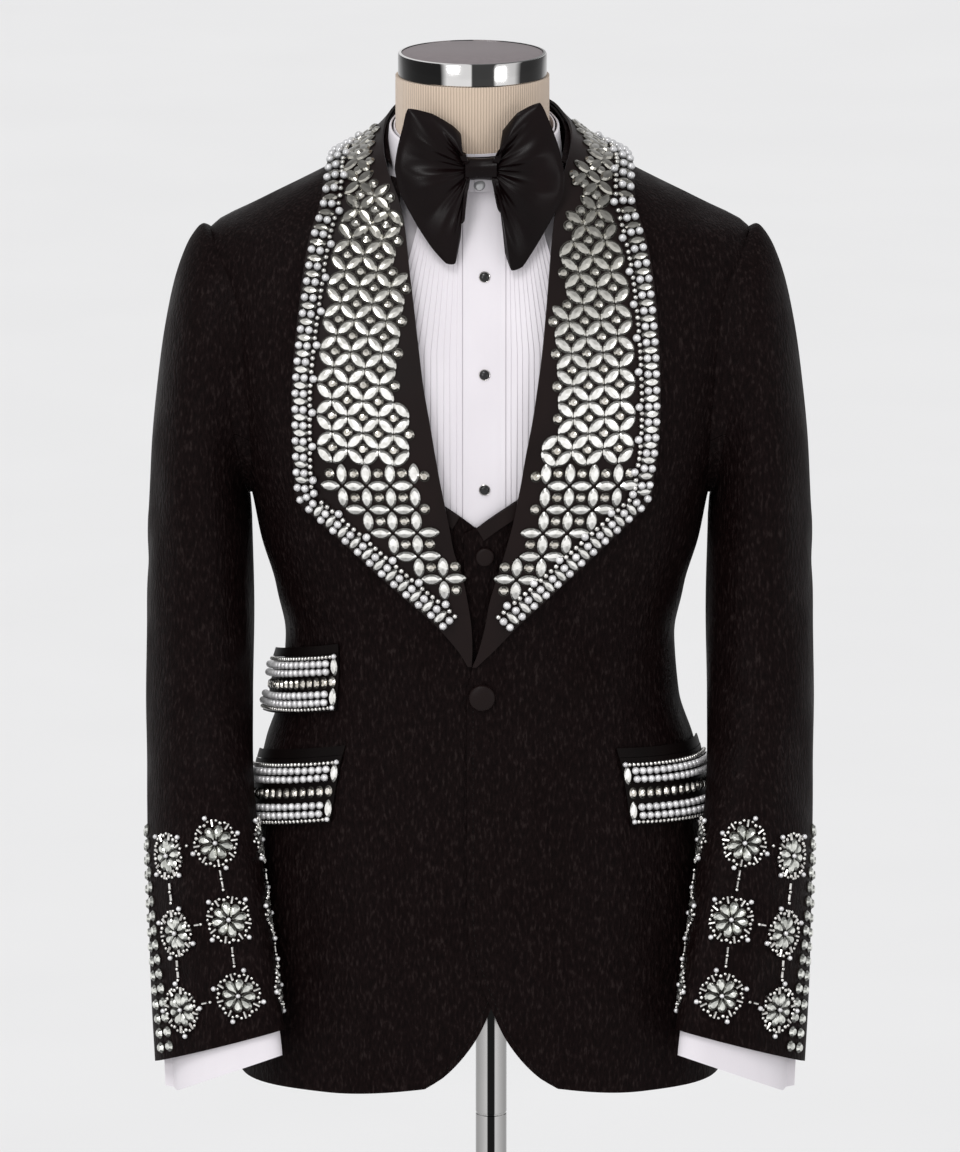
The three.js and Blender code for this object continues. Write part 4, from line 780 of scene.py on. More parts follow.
# A darker copy of the black satin, with painted shade for the pockets' flaps and jets, which take less
# light.
SHADED_FLAP_SATIN = satin("shaded_flap_satin", (0.0032, 0.0020, 0.0019), (0.0062, 0.0040, 0.0038), 0.45, 0.06)
LINING = satin("black_lining", (0.004, 0.003, 0.003), (0.008, 0.006, 0.006), 0.5, 0.1)
BOW_SATIN = satin("bow_satin", (0.0030, 0.0013, 0.0014), (0.0062, 0.0028, 0.0030), 0.25, 0.10,
                  (1, 1, 1), 0.08)
THREAD = satin("sewing_thread", (0.006, 0.005, 0.005), (0.014, 0.012, 0.011), 0.6, 0.1)
WHITE_THREAD = satin("white_thread", (0.66, 0.64, 0.68), (0.78, 0.76, 0.80), 0.6, 0.3)
COTTON = cotton()
JERSEY = ribbed_jersey()
CHROME = metal("polished_steel", (0.56, 0.54, 0.52), (0.61, 0.59, 0.57), 0.14, (1, 1, 0.1), 40.0)
SETTING = metal("stone_setting", (0.045, 0.042, 0.036), (0.10, 0.095, 0.085), 0.4)
CAP_GREY = enamel("satin_cap", (0.155, 0.13, 0.135), (0.20, 0.17, 0.175), 0.5)
STUD_BLACK = enamel("black_enamel", (0.0015, 0.0015, 0.0015), (0.003, 0.003, 0.003), 0.22)

# Painted light, shade and reflections: brightness from one side of a piece to the other, or from faces
# that look down to ones that look up
CAP_REFLECTIONS = [(0.0, 0.2), (0.04, 0.02), (0.29, 0.02), (0.33, 0.9), (0.49, 0.9), (0.5, 0.06),
             (0.64, 0.06), (0.66, 0.85), (0.78, 0.72), (0.82, 0.04), (0.96, 0.02), (1.0, 0.4)]
POLE_REFLECTIONS = [(0.0, 0.3), (0.14, 0.42), (0.36, 0.55), (0.39, 0.012), (0.6, 0.012), (0.63, 0.6),
              (0.86, 0.42), (1.0, 0.28)]
FACET_SHADES = [(0.0, 0.05), (0.28, 0.16), (0.4, 0.42), (0.45, 1.0), (0.62, 1.0), (0.7, 0.5), (0.84, 0.22),
          (1.0, 0.5)]
PEARL_SHADES = [(0.0, 0.34), (0.3, 0.58), (0.5, 0.86), (0.7, 1.0), (1.0, 0.86)]
CAP_STEEL = reflection_banded_metal("cap_steel", CAP_REFLECTIONS, 0.1)
POLE_STEEL = reflection_banded_metal("pole_steel", POLE_REFLECTIONS, 0.1)
CRYSTAL = glazed("foiled_crystal", FACET_SHADES, (0.74, 0.73, 0.69), (1.0, 0.99, 0.96),
                 (0.60, 0.58, 0.52), 0.10, foil=0.35)
CHAMPAGNE = glazed("champagne_stone", FACET_SHADES, (0.60, 0.56, 0.49), (0.98, 0.94, 0.87),
                   (0.66, 0.64, 0.58), 0.07)
SMOKED = glazed("sleeve_crystal", FACET_SHADES, (0.52, 0.53, 0.49), (0.95, 0.96, 0.90),
                (0.50, 0.50, 0.45), 0.10)
PEARL_LOOK = glazed("pearl", PEARL_SHADES, (0.68, 0.67, 0.68), (0.95, 0.94, 0.95),
                    (0.70, 0.70, 0.71), 0.12, 0.35)
SEED_LOOK = glazed("silver_seed", PEARL_SHADES, (0.62, 0.60, 0.57), (1.0, 0.98, 0.94),
                   (0.60, 0.59, 0.56), 0.12)


def add_object(name, vertices, faces, materials, nodes=(), indices=None, smooth=True):
    """Mesh object in metres that rides on the body and stands for the named solids."""
    mesh = bpy.data.meshes.new(name)
    faces = faces.tolist() if isinstance(faces, np.ndarray) else faces
    mesh.from_pydata((np.asarray(vertices) * METRES).tolist(), [], faces)
    for material in materials:
        mesh.materials.append(material)
    if indices is not None:
        mesh.polygons.foreach_set("material_index", np.asarray(indices, np.int32))
    mesh.polygons.foreach_set("use_smooth", [smooth] * len(mesh.polygons))
    mesh.update()
    piece = bpy.data.objects.new(name, mesh)
    bpy.context.scene.collection.objects.link(piece)
    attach(piece, BODY)
    if nodes:
        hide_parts(*nodes)
    return piece


def grid_faces(rows, columns, closed=False):
    across = columns if closed else columns - 1
    i, j = np.meshgrid(np.arange(rows - 1), np.arange(across), indexing="ij")
    a = i * columns + j
    b = i * columns + (j + 1) % columns
    return np.stack([a, b, b + columns, a + columns], -1).reshape(-1, 4)


def cloth(name, grid, thick, material, nodes, inside=None, closed=False, mirror=False,
          outward=1):
    """Shell of cloth on a grid of points of its outer face; the size of its cut is worked out, but not
    used.
    """
    rows, columns = grid.shape[:2]
    wrapped = np.concatenate([grid[:, -1:], grid, grid[:, :1]], 1) if closed else grid
    normals = grid_normals(wrapped)
    normals = normals[:, 1:-1] if closed else normals
    inner = grid - normals * thick * outward
    if mirror:
        grid, inner = mirrored(grid), mirrored(inner)
    count = rows * columns
    outer_faces = grid_faces(rows, columns, closed)
    inner_faces = outer_faces[:, ::-1] + count
    rim = []
    across = columns if closed else columns - 1
    for j in range(across):
        k = (j + 1) % columns
        rim.append((count + j, count + k, k, j))
        top = (rows - 1) * columns
        rim.append((top + j, top + k, count + top + k, count + top + j))
    if not closed:
        for i in range(rows - 1):
            a, d = i * columns, (i + 1) * columns
            rim.append((a, d, count + d, count + a))
            b, c = a + columns - 1, d + columns - 1
            rim.append((count + b, count + c, c, b))
    faces = np.concatenate([outer_faces, inner_faces, np.array(rim)])
    if (outward < 0) != mirror:
        faces = faces[:, ::-1]
    materials = [material, inside] if inside else [material]
    indices = np.zeros(len(faces), int)
    if inside:
        indices[len(outer_faces):2 * len(outer_faces)] = 1
    vertices = np.concatenate([grid.reshape(-1, 3), inner.reshape(-1, 3)])
    piece = add_object(name, vertices, faces, materials, nodes, indices)
    piece.data.set_sharp_from_angle(angle=math.radians(50))
    ring = np.concatenate([grid, grid[:, :1]], 1) if closed else grid
    width = np.linalg.norm(np.diff(ring, axis=1), axis=2).sum(1).max() * METRES
    length = np.linalg.norm(np.diff(grid, axis=0), axis=2).sum(0).max() * METRES
    quads = (grid.reshape(-1, 3) * METRES)[outer_faces]
    area = (np.linalg.norm(np.cross(quads[:, 1] - quads[:, 0], quads[:, 2] - quads[:, 0]), axis=1)
            + np.linalg.norm(np.cross(quads[:, 2] - quads[:, 0], quads[:, 3] - quads[:, 0]), axis=1))
    area = float(np.clip(area.sum() / 2, LEAST_AREA_SHARE * width * length, width * length))
    return piece


# Templates of stones and beads: vertices, faces, and material index of each face

def bands(start, n, count):
    """Triangles between rings of n points each, the first of them at an index."""
    faces = []
    for r in range(count):
        for j in range(n):
            k = (j + 1) % n
            a, b = start + r * n + j, start + r * n + k
            faces += [(a, b, b + n), (a, b + n, a + n)]
    return faces


def faceted(outline, height, girdle=0.25, table=0.62):
    """Cut stone in a thin setting, from its outline: girdle, slanted crown and low ridge."""
    n = len(outline)
    rings = [(1.0, 0.0), (1.0, girdle), (table, 0.86)]
    vertices = [(x * s, y * s, height * h) for s, h in rings for x, y in outline]
    vertices.append((0, 0, height))
    stone = bands(0, n, 2)
    for j in range(n):
        stone.append((2 * n + j, 2 * n + (j + 1) % n, 3 * n))
    setting = bands(len(vertices), n, 2)
    cup = [(0.35, -0.1), (0.35, girdle), (0.0, girdle + 0.02)]
    for margin, h in cup:
        for x, y in outline:
            away = math.hypot(x, y)
            grow = 1 + margin / max(away, 1.0)
            vertices.append((x * grow, y * grow, height * h))
    return np.array(vertices), np.array(stone + setting), np.repeat([0, 1], [len(stone), len(setting)])


def navette(length, width, height, n=14):
    turns = np.linspace(0, 2 * np.pi, n, endpoint=False)
    y = np.sign(np.sin(turns)) * np.abs(np.sin(turns)) ** 1.3
    return faceted(list(zip(length / 2 * np.cos(turns), width / 2 * y)), height, 0.3, 0.74)


def teardrop(length, width, height, n=7):
    """Pear stone whose narrow end lies towards its own minus X."""
    share = (1 - np.cos(np.linspace(0, np.pi, n + 1))) / 2
    half = width / 2 * share * np.sqrt(1 - share) / 0.385
    lower = [(length * (t - 0.5), -h) for t, h in zip(share, half)]
    upper = [(length * (t - 0.5), h) for t, h in zip(share, half)][-2:0:-1]
    return faceted(lower + upper, height)


def oval(length, width, height, n=12):
    turns = np.linspace(0, 2 * np.pi, n, endpoint=False)
    return faceted(list(zip(length / 2 * np.cos(turns), width / 2 * np.sin(turns))), height)


def round_stone(diameter, height):
    return oval(diameter, diameter, height)


def ball(diameter, around=10, up=6, squash=1.0):
    """Bead that sits on the cloth, its middle half its height above it."""
    radius = diameter / 2
    vertices = [(0, 0, 0)]
    for i in range(1, up):
        tilt = np.pi * i / up
        for j in range(around):
            turn = 2 * np.pi * j / around
            vertices.append((radius * np.sin(tilt) * np.cos(turn),
                             radius * np.sin(tilt) * np.sin(turn),
                             radius * squash * (1 - np.cos(tilt))))
    vertices.append((0, 0, 2 * radius * squash))
    faces = []
    for j in range(around):
        k = (j + 1) % around
        faces.append((0, 1 + k, 1 + j))
        top = 1 + (up - 2) * around
        faces.append((top + j, top + k, len(vertices) - 1))
        for i in range(up - 2):
            a, b = 1 + i * around + j, 1 + i * around + k
            faces += [(a, b, b + around), (a, b + around, a + around)]
    return np.array(vertices), np.array(faces), np.zeros(len(faces), int)


def bugle(length, diameter, n=6):
    """Short glass tube lying on the cloth, open at both ends."""
    turns = np.linspace(0, 2 * np.pi, n, endpoint=False)
    rings = [(-0.5, 0.55), (-0.5, 1), (0.5, 1), (0.5, 0.55)]
    vertices = [(length * e, diameter / 2 * s * np.cos(t), diameter / 2 * (1 + s * np.sin(t)))
                for e, s in rings for t in turns]
    faces = []
    for r in range(4):
        for j in range(n):
            k = (j + 1) % n
            a, b = r * n + j, r * n + k
            c, d = ((r + 1) % 4) * n + k, ((r + 1) % 4) * n + j
            faces += [(a, c, b), (a, d, c)]
    return np.array(vertices), np.array(faces), np.zeros(len(faces), int)


class Beadwork:
    """Collects copies of stone and bead templates, then makes one mesh of each kind."""

    def __init__(self):
        self.kinds = {}

    def add(self, kind, template, where, normal, direction):
        """Copies at points, each with its outward normal and the direction of its long axis."""
        where = np.atleast_2d(where)
        if not len(where):
            return
        normal = unit(np.broadcast_to(normal, where.shape))
        direction = np.broadcast_to(direction, where.shape)
        long_axis = unit(direction - normal * (direction * normal).sum(-1, keepdims=True))
        side = np.cross(normal, long_axis)
        v, faces, looks = template
        placed = (where[:, None] + v[None, :, :1] * long_axis[:, None]
                  + v[None, :, 1:2] * side[:, None] + v[None, :, 2:] * normal[:, None])
        offsets = np.arange(len(where)) * len(v)
        every = self.kinds.setdefault(kind, [])
        every.append((placed.reshape(-1, 3), (faces[None] + offsets[:, None, None]).reshape(-1, 3),
                      np.tile(looks, len(where))))

    def lay(self, surface, kind, template, wanted, direction):
        """Copies on a face, under the wanted points."""
        where, normal = surface.near(wanted)
        self.add(kind, template, where, normal, direction)

    def build(self, prefix, mirror, thread=None):
        for kind, batches in self.kinds.items():
            starts = np.cumsum([0, *(len(batch[0]) for batch in batches)])
            vertices = np.concatenate([batch[0] for batch in batches])
            faces = np.concatenate([batch[1] + start for batch, start in zip(batches, starts)])
            looks = np.concatenate([batch[2] for batch in batches])
            if mirror:
                vertices, faces = mirrored(vertices), faces[:, ::-1]
            materials = [thread] if thread else BEAD_LOOKS[kind]
            add_object(prefix + "_" + kind, vertices, faces, materials,
                       indices=looks, smooth=kind in SMOOTH_BEADS)


BEAD_LOOKS = {
    "navettes": [CRYSTAL, SETTING], "round_stones": [CHAMPAGNE, SETTING], "pearls": [PEARL_LOOK],
    "seeds": [SEED_LOOK], "bugles": [SEED_LOOK], "petals": [SMOKED, SETTING],
    "cabochons": [SMOKED, SETTING],
}
SMOOTH_BEADS = ("pearls", "seeds", "run")


class Surface:
    """Dense grid of points of an outer face, to find places and normals on it."""

    def __init__(self, grid):
        self.grid = grid
        self.normals = grid_normals(grid)
        self.points = grid.reshape(-1, 3)
        self.flat_normals = self.normals.reshape(-1, 3)
        self.tree = kdtree.KDTree(len(self.points))
        for i, p in enumerate(self.points):
            self.tree.insert(p, i)
        self.tree.balance()

    def near(self, wanted):
        """Places on the face under the wanted points, with their normals."""
        wanted = np.atleast_2d(wanted)
        index = [self.tree.find(p)[1] for p in wanted]
        foot, normal = self.points[index], self.flat_normals[index]
        off = ((wanted - foot) * normal).sum(-1, keepdims=True)
        return wanted - off * normal, normal

    def read(self, row, column):
        """Point at fractional row and column of the grid."""
        rows, columns = self.grid.shape[:2]
        row, column = np.clip(row, 0, rows - 1.001), np.clip(column, 0, columns - 1.001)
        i, j = row.astype(int), column.astype(int)
        s, t = (row - i)[:, None], (column - j)[:, None]
        g = self.grid
        return ((g[i, j] * (1 - t) + g[i, j + 1] * t) * (1 - s)
                + (g[i + 1, j] * (1 - t) + g[i + 1, j + 1] * t) * s)


def stations(path, spacing, start=0.0, end=0.0):
    """Points at even distances along a path, with the direction of the path there."""
    run = np.concatenate([[0], np.cumsum(np.linalg.norm(np.diff(path, axis=0), axis=1))])
    count = max(1, int(round((run[-1] - start - end) / spacing)))
    at = start + (run[-1] - start - end) * (np.arange(count) + 0.5) / count
    where = np.stack([np.interp(at, run, path[:, c]) for c in range(3)], -1)
    ahead = np.stack([np.interp(at + 2, run, path[:, c]) for c in range(3)], -1)
    back = np.stack([np.interp(at - 2, run, path[:, c]) for c in range(3)], -1)
    return where, unit(ahead - back)


# Jacket

def panel_edge(seam, behind, top):
    """Levels of a body panel, its edge at each (seam, armhole, then shoulder) and the gap to that."""
    joint = float(armhole_height(np.array(seam)))
    levels = np.unique(np.concatenate([np.linspace(HEM_Z, top, 150), [joint, ARMHOLE_TOP]]))
    level = levels[:, None]
    hole = armhole_angle(np.clip(level, joint, ARMHOLE_TOP), behind)
    edge = np.where(level <= joint, seam, np.where(level >= ARMHOLE_TOP, np.pi / 2, hole))
    gap = np.where(level > joint, -ARMHOLE_TUCK, SEAM_GAP / 2) / along(TORSO, 1, level)
    return level, edge, gap


def jacket_fronts():
    level, edge, gap = panel_edge(SIDE_SEAM, False, NECK_SEAM_Z - SEAM_GAP)
    u = np.linspace(0, 1, 50)[None, :]
    low = np.maximum(0, 1 - (level - HEM_Z) / QUARTER_RISE)
    neck = np.maximum(0, (level - NECK_DIP_FROM_Z) / (NECK_SEAM_Z - NECK_DIP_FROM_Z))
    z = (level + (QUARTER_CORNER_Z - HEM_Z) * low * np.maximum(0, 1 - u / QUARTER_SHARE) ** 2
         - NECK_DIP * neck * (1 - u))
    for left, side in SIDES:
        first = angle_at(front_edge(z, left), z)
        p = on_body(first + (edge - gap - first) * u, z)
        p = p + body_normal(p) * front_lift(p[..., 0], left)[..., None]
        cloth("front_" + side, p, CLOTH, JACQUARD, ["jacket_front_" + side],
              inside=LINING, mirror=not left)


def jacket_sides_and_backs():
    gap = SEAM_GAP / 2 / BODY_RADIUS
    angle = np.linspace(SIDE_SEAM + gap, BACK_SEAM - gap, 18)[None, :]
    top = armhole_height(angle) - 0.2
    z = HEM_Z + (top - HEM_Z) * np.linspace(0, 1, 100)[:, None]
    side_panel = on_body(angle + 0 * z, z)
    level, edge, gap = panel_edge(BACK_SEAM, True, NECK_SEAM_Z)
    first = edge + gap
    last = np.pi - SEAM_GAP / 2 / along(TORSO, 1, level)
    u = np.linspace(0, 1, 42)[None, :]
    back = on_body(first + (last - first) * u, level + 0 * u)
    for left, side in SIDES:
        cloth("side_" + side, side_panel, CLOTH, JACQUARD, ["jacket_side_" + side],
              inside=LINING, mirror=not left)
        cloth("back_" + side, back, CLOTH, JACQUARD, ["jacket_back_" + side],
              inside=LINING, mirror=not left)


def sleeves():
    levels = np.concatenate([np.linspace(0, 1, 84), np.linspace(1, SLEEVE_TOP, 60)[1:]])
    gap = 0.16 * RAD
    top = np.linspace(TOP_SLEEVE[0] + gap, TOP_SLEEVE[1] - gap, 60)
    under = np.linspace(TOP_SLEEVE[1] + gap, TOP_SLEEVE[0] + 2 * np.pi - gap, 38)
    for left, side in SIDES:
        for name, turns in (("top_sleeve_", top), ("under_sleeve_", under)):
            cloth(name + "cloth_" + side, sleeve_surface(turns, levels), CLOTH, JACQUARD,
                  [name + side], inside=LINING, mirror=not left)


def shirt_cuffs():
    round_part = 0.86  # share of the cuff that lies round the wrist, the rest being its fin
    u = np.concatenate([np.linspace(-1, -round_part, 18)[:-1], np.linspace(-round_part, round_part, 120),
                        np.linspace(round_part, 1, 18)[1:]])[None, :]
    v = np.linspace(0, 1, 22)[:, None]
    way = np.where(u < 0, -1, 1)
    share = np.abs(u)
    turn = 270 * RAD - way * 156 * RAD * np.minimum(1, share / round_part)
    hem = SLEEVE_HEM_Z - SLEEVE_HEM_SLANT * np.sin(turn)
    z = hem - CUFF_BELOW + (CUFF_BELOW + CUFF_ABOVE) * v
    width = along(SLEEVE, 4, z) - CUFF_INSET
    depth = along(SLEEVE, 3, z) - CUFF_INSET
    outward = width * np.cos(turn)
    backward = (depth - CUFF_FIN / 2) * np.sin(turn) - CUFF_FIN / 2
    t = np.clip((share - round_part) / (1 - round_part), 0, 1)
    outward = outward + (-way * (CUFF_FIN_HALF_GAP + CUFF_WALL) - outward) * np.minimum(1, t * 2)
    backward = backward + (depth - 3 - backward) * t
    angle = along(SLEEVE, 5, z) * RAD
    p = points(along(SLEEVE, 1, z) + outward * np.cos(angle) - backward * np.sin(angle),
               along(SLEEVE, 2, z) + outward * np.sin(angle) + backward * np.cos(angle), z)
    for left, side in SIDES:
        cloth("cuff_" + side, p, CUFF_WALL, COTTON, ["shirt_cuff_" + side],
              mirror=not left, outward=-1)


def lapels():
    across = np.linspace(0, 1, 38)
    along01 = np.linspace(0, 1, 260)
    surfaces = {}
    for left, side in SIDES:
        grid = lapel_surface(across, along01, left)
        cloth("lapel_cloth_" + side, grid, LAPEL_WALL, SATIN, ["lapel_" + side],
              mirror=not left)
        surfaces[left] = Surface(grid)
    return surfaces


def collar_stand():
    u = np.linspace(-0.999, 0.999, 121)
    last = len(COLLAR_STAND) - 1
    grid = []
    for v in np.linspace(0, 1, 8):
        row = []
        for x in u:
            at = (1 - abs(x)) * last
            k = min(last - 1, int(at))
            four = []
            for i in (k - 1, k, k + 1, k + 2):
                r = COLLAR_STAND[min(last, max(0, i))]
                foot, head = r[:3], r[3:]
                p = foot + (head - foot) * v
                lean = COLLAR_LEAN_X * min(1, head[0] / 40) * v
                four.append(np.array([(-1 if x < 0 else 1) * p[0] + lean, p[1], p[2]]))
            row.append(through(*four, at - k))
        grid.append(row)
    cloth("collar_stand_cloth", np.array(grid), 1.3, JACQUARD, ["collar_stand"],
          outward=-1)


def flap_shell(flap, rows, out, foot, height):
    """Grid of a pocket flap or jet, from its inner end round the body and up from its foot."""
    _, _, x, top, _, length, drop, stand = flap
    turns = np.linspace(0, 80 * RAD, 400) + float(angle_at(np.array(x), np.array(top)))
    grid = []
    for v in np.linspace(0, 1, rows):
        row = []
        for u in np.linspace(0, 1, 40):
            z = top - drop * u
            ring = ring_point(TORSO, turns, z + 0 * turns)
            run = np.concatenate([[0], np.cumsum(np.linalg.norm(np.diff(ring[:, :2], axis=0), axis=1))])
            angle = np.interp(length * u, run, turns)
            lean = stand * u * u * (1 - 0.25 * v)
            row.append(on_body(np.array(angle), np.array(z + foot + height * v), out + lean))
        grid.append(row)
    return np.array(grid)


def pockets():
    surfaces = []
    for flap in FLAPS:
        name, side, height = flap[0], flap[1], flap[4]
        grid = flap_shell(flap, 16, FLAP_OUT, -height, height)
        cloth(name + "_flap_cloth", grid, 1.5, SHADED_FLAP_SATIN, [name + "_pocket_flap"],
              mirror=side < 0)
        jet = flap_shell(flap, 5, JET_OUT, SEAM_GAP, JET_HEIGHT)
        cloth(name + "_jet_cloth", jet, 1.2, SHADED_FLAP_SATIN, [name + "_pocket_jet"],
              mirror=side < 0)
        surfaces.append((flap, Surface(grid)))
    return surfaces


# Waistcoat and shirt

def waistcoat_front(left, side):
    sign = 1 if left else -1
    levels = np.unique(np.concatenate([np.linspace(VEST_HEM_Z, VEST_TOP_Z, 110),
                                       [UNDERARM_Z, 1199.5, 1207]]))
    level = levels[:, None]
    u = np.linspace(0, 1, 40)[None, :]
    low = np.maximum(0, 1 - (level - VEST_HEM_Z) / VEST_POINT_RISE)
    z = level - VEST_POINT * low * np.maximum(0, 1 - np.abs(u - VEST_POINT_AT) / VEST_POINT_REACH)
    lap = sign * VEST_X - VEST_LAP
    neck = along(VEST_EDGE, 1, z) + sign * VEST_X
    first = angle_at(np.where(z < VEST_EDGE[0, 0], lap, np.maximum(lap, neck)), z)
    last = np.pi / 2 + armhole_reach(level, False, 1390, 7 * RAD) - 0.001
    angle = first + (last - first) * u
    out = VEST_OUT + vest_lift(ring_point(TORSO, angle, z)[..., 0], left)
    cloth("waistcoat_front_" + side, on_body(angle, z, out), VEST_WALL, JACQUARD,
          ["vest_front_" + side], inside=LINING, mirror=not left)


def waistcoat_collar(left, side):
    """Narrow satin strip along the neck edge, above its crossing."""
    start = VEST_EDGE[0, 0] + (0 if left else 9)
    z = (start + (VEST_EDGE[4, 0] - start) * np.linspace(0, 1, 60))[:, None]
    x = along(VEST_EDGE, 1, z) + (1 if left else -1) * VEST_X + 0.5
    width = VEST_STRIP * np.linspace(0, 1, 7)[None, :]
    low_z = z - width * 0.87
    strip = on_body(angle_at(x + width * 0.5, low_z), low_z, STRIP_OUT + vest_lift(x, left) + 0 * width)
    cloth("waistcoat_collar_" + side, strip, 1.1, SATIN, ["vest_collar_" + side],
          mirror=not left)


def waistcoat():
    for left, side in SIDES:
        waistcoat_front(left, side)
        waistcoat_collar(left, side)
    level = np.linspace(VEST_HEM_Z, VEST_BACK_TOP_Z, 80)[:, None]
    edge = np.pi / 2 + armhole_reach(level, True, 1390, 7 * RAD) + 0.001
    angle = edge + (2 * np.pi - 2 * edge) * np.linspace(0, 1, 66)[None, :]
    cloth("waistcoat_back", on_body(angle, level + 0 * angle, VEST_OUT), VEST_WALL, SATIN,
          ["vest_back"], inside=LINING)


def shirt_point(angle, z):
    p = on_body(angle, z, SHIRT_OUT)
    q = ring_point(FORM, angle, z)
    away = unit(q * np.array([1.0, 1.0, 0.0]))
    t = step(1404, 1442, z)[..., None]
    return p + (q + away * SHIRT_OFF_FORM - p) * t


def shirt_body():
    level = np.linspace(SHIRT_HEM_Z, SHIRT_NECK_BACK, 90)[:, None]
    below_shoulder = 1 - np.clip((level - 1405) / 20, 0, 1)

    def armhole(behind):
        return np.pi / 2 + armhole_reach(level, behind, 1400, 5 * RAD) * below_shoulder

    def height(angle):
        rise = np.maximum(0, (level - SHIRT_NECK_DIP_FROM_Z) / (SHIRT_NECK_BACK - SHIRT_NECK_DIP_FROM_Z))
        return level - (SHIRT_NECK_BACK - SHIRT_NECK_FRONT) * rise * (1 + np.cos(angle)) / 2

    for left, side in SIDES:
        sign = 1 if left else -1
        middle = angle_at(sign * PLACKET_X + SEAM_GAP / 2 + 0 * level, level)
        angle = middle + (armhole(False) - 0.001 - middle) * np.linspace(0, 1, 34)[None, :]
        cloth("shirt_front_cloth_" + side, shirt_point(sign * angle, height(angle)), SHIRT_WALL, COTTON,
              ["shirt_front_" + side], outward=sign)
    first = armhole(True) + 0.001
    angle = first + (2 * np.pi - 2 * first) * np.linspace(0, 1, 64)[None, :]
    cloth("shirt_back_cloth", shirt_point(angle, height(angle)), SHIRT_WALL, COTTON,
          ["shirt_back"])


def shirt_bibs():
    z = np.linspace(BIB_BOTTOM, SHIRT_NECK_FRONT + BIB_TUCK, 64)[:, None]
    j = np.linspace(0, PLEATS, PLEATS * 8 + 1)[None, :]
    share = j % 1.0
    rise = PLEAT_RISE * np.where(share < PLEAT_FACE, share / PLEAT_FACE, (1 - share) / (1 - PLEAT_FACE))
    waver = 0.25 * np.sin(j * 2.7 + z / 47)
    t = np.maximum(0, (z - BIB_TAPER_FROM) / (SHIRT_NECK_FRONT - BIB_TAPER_FROM))
    half = BIB_HALF + (BIB_TOP_HALF - BIB_HALF) * t
    for left, side in SIDES:
        sign = 1 if left else -1
        start = sign * PLACKET_X + PLACKET_HALF + 0.3
        x = start + (half - start) * j / PLEATS + waver * np.clip(j, 0, 1) * np.clip(PLEATS - j, 0, 1)
        grid = on_body(angle_at(x, z), z + 0 * x, BIB_OUT + rise)
        cloth("pleated_bib_" + side, grid, 0.9, COTTON, ["shirt_bib_" + side],
              mirror=not left)
    x = PLACKET_X + PLACKET_HALF * np.linspace(-1, 1, 22)[None, :]
    edge = 0.35 * np.exp(-((np.abs(x - PLACKET_X) - PLACKET_HALF + 4) / 0.9) ** 2)
    grid = on_body(angle_at(x + 0 * z, z), z + 0 * x, BIB_OUT + 0.9 - edge + 0 * z)
    cloth("placket_cloth", grid, 0.8, COTTON, ["shirt_placket"])


def shirt_collar():
    angle = np.clip(np.linspace(0, 360, 145), 0.1, 359.9)[None, :] * RAD
    foot = SHIRT_NECK_FRONT + 0.4 + (SHIRT_NECK_BACK - SHIRT_NECK_FRONT) * (1 - np.cos(angle)) / 2
    v = np.linspace(0, 1, 14)[:, None]
    stand = neck_point(angle + 0 * v, COLLAR_RADIUS - COLLAR_TAPER * v,
                       foot + (fold_height(angle) - foot) * v)
    cloth("collar_stand_shirt", stand, SHIRT_WALL, COTTON, ["shirt_collar_stand"])
    turn = np.linspace(*FALL_TURNS, 150)[None, :] * RAD
    front = np.maximum(0, np.cos(turn)) ** 2
    bend = 0.955
    v = np.concatenate([np.linspace(0, bend, 26), np.linspace(bend, 1, 6)[1:]])[:, None]
    fall_foot = FALL_FOOT_RADIUS + FALL_SPREAD * front**0.7
    radius = np.where(v > bend, FALL_FOLD_RADIUS - 1.1 * (v - bend) / (1 - bend),
                      fall_foot + (FALL_FOLD_RADIUS - fall_foot) * v / bend)
    swing = np.sin(turn) * front * 0.1 * (1 - v)
    fall = neck_point(turn + swing, radius,
                      fold_height(turn) - (FALL_DEPTH + FALL_POINTS * front) * (1 - v))
    cloth("collar_fall_shirt", fall, SHIRT_WALL, COTTON, ["shirt_collar_fall"])
    v = np.linspace(0, 1, 6)[:, None]
    band = neck_point(angle + 0 * v, BAND_RADIUS, fold_height(angle) - 2 - BAND_HEIGHT * (1 - v))
    cloth("bow_neck_band", band, 0.8, BOW_SATIN, ["bow_band"])


# Bow tie

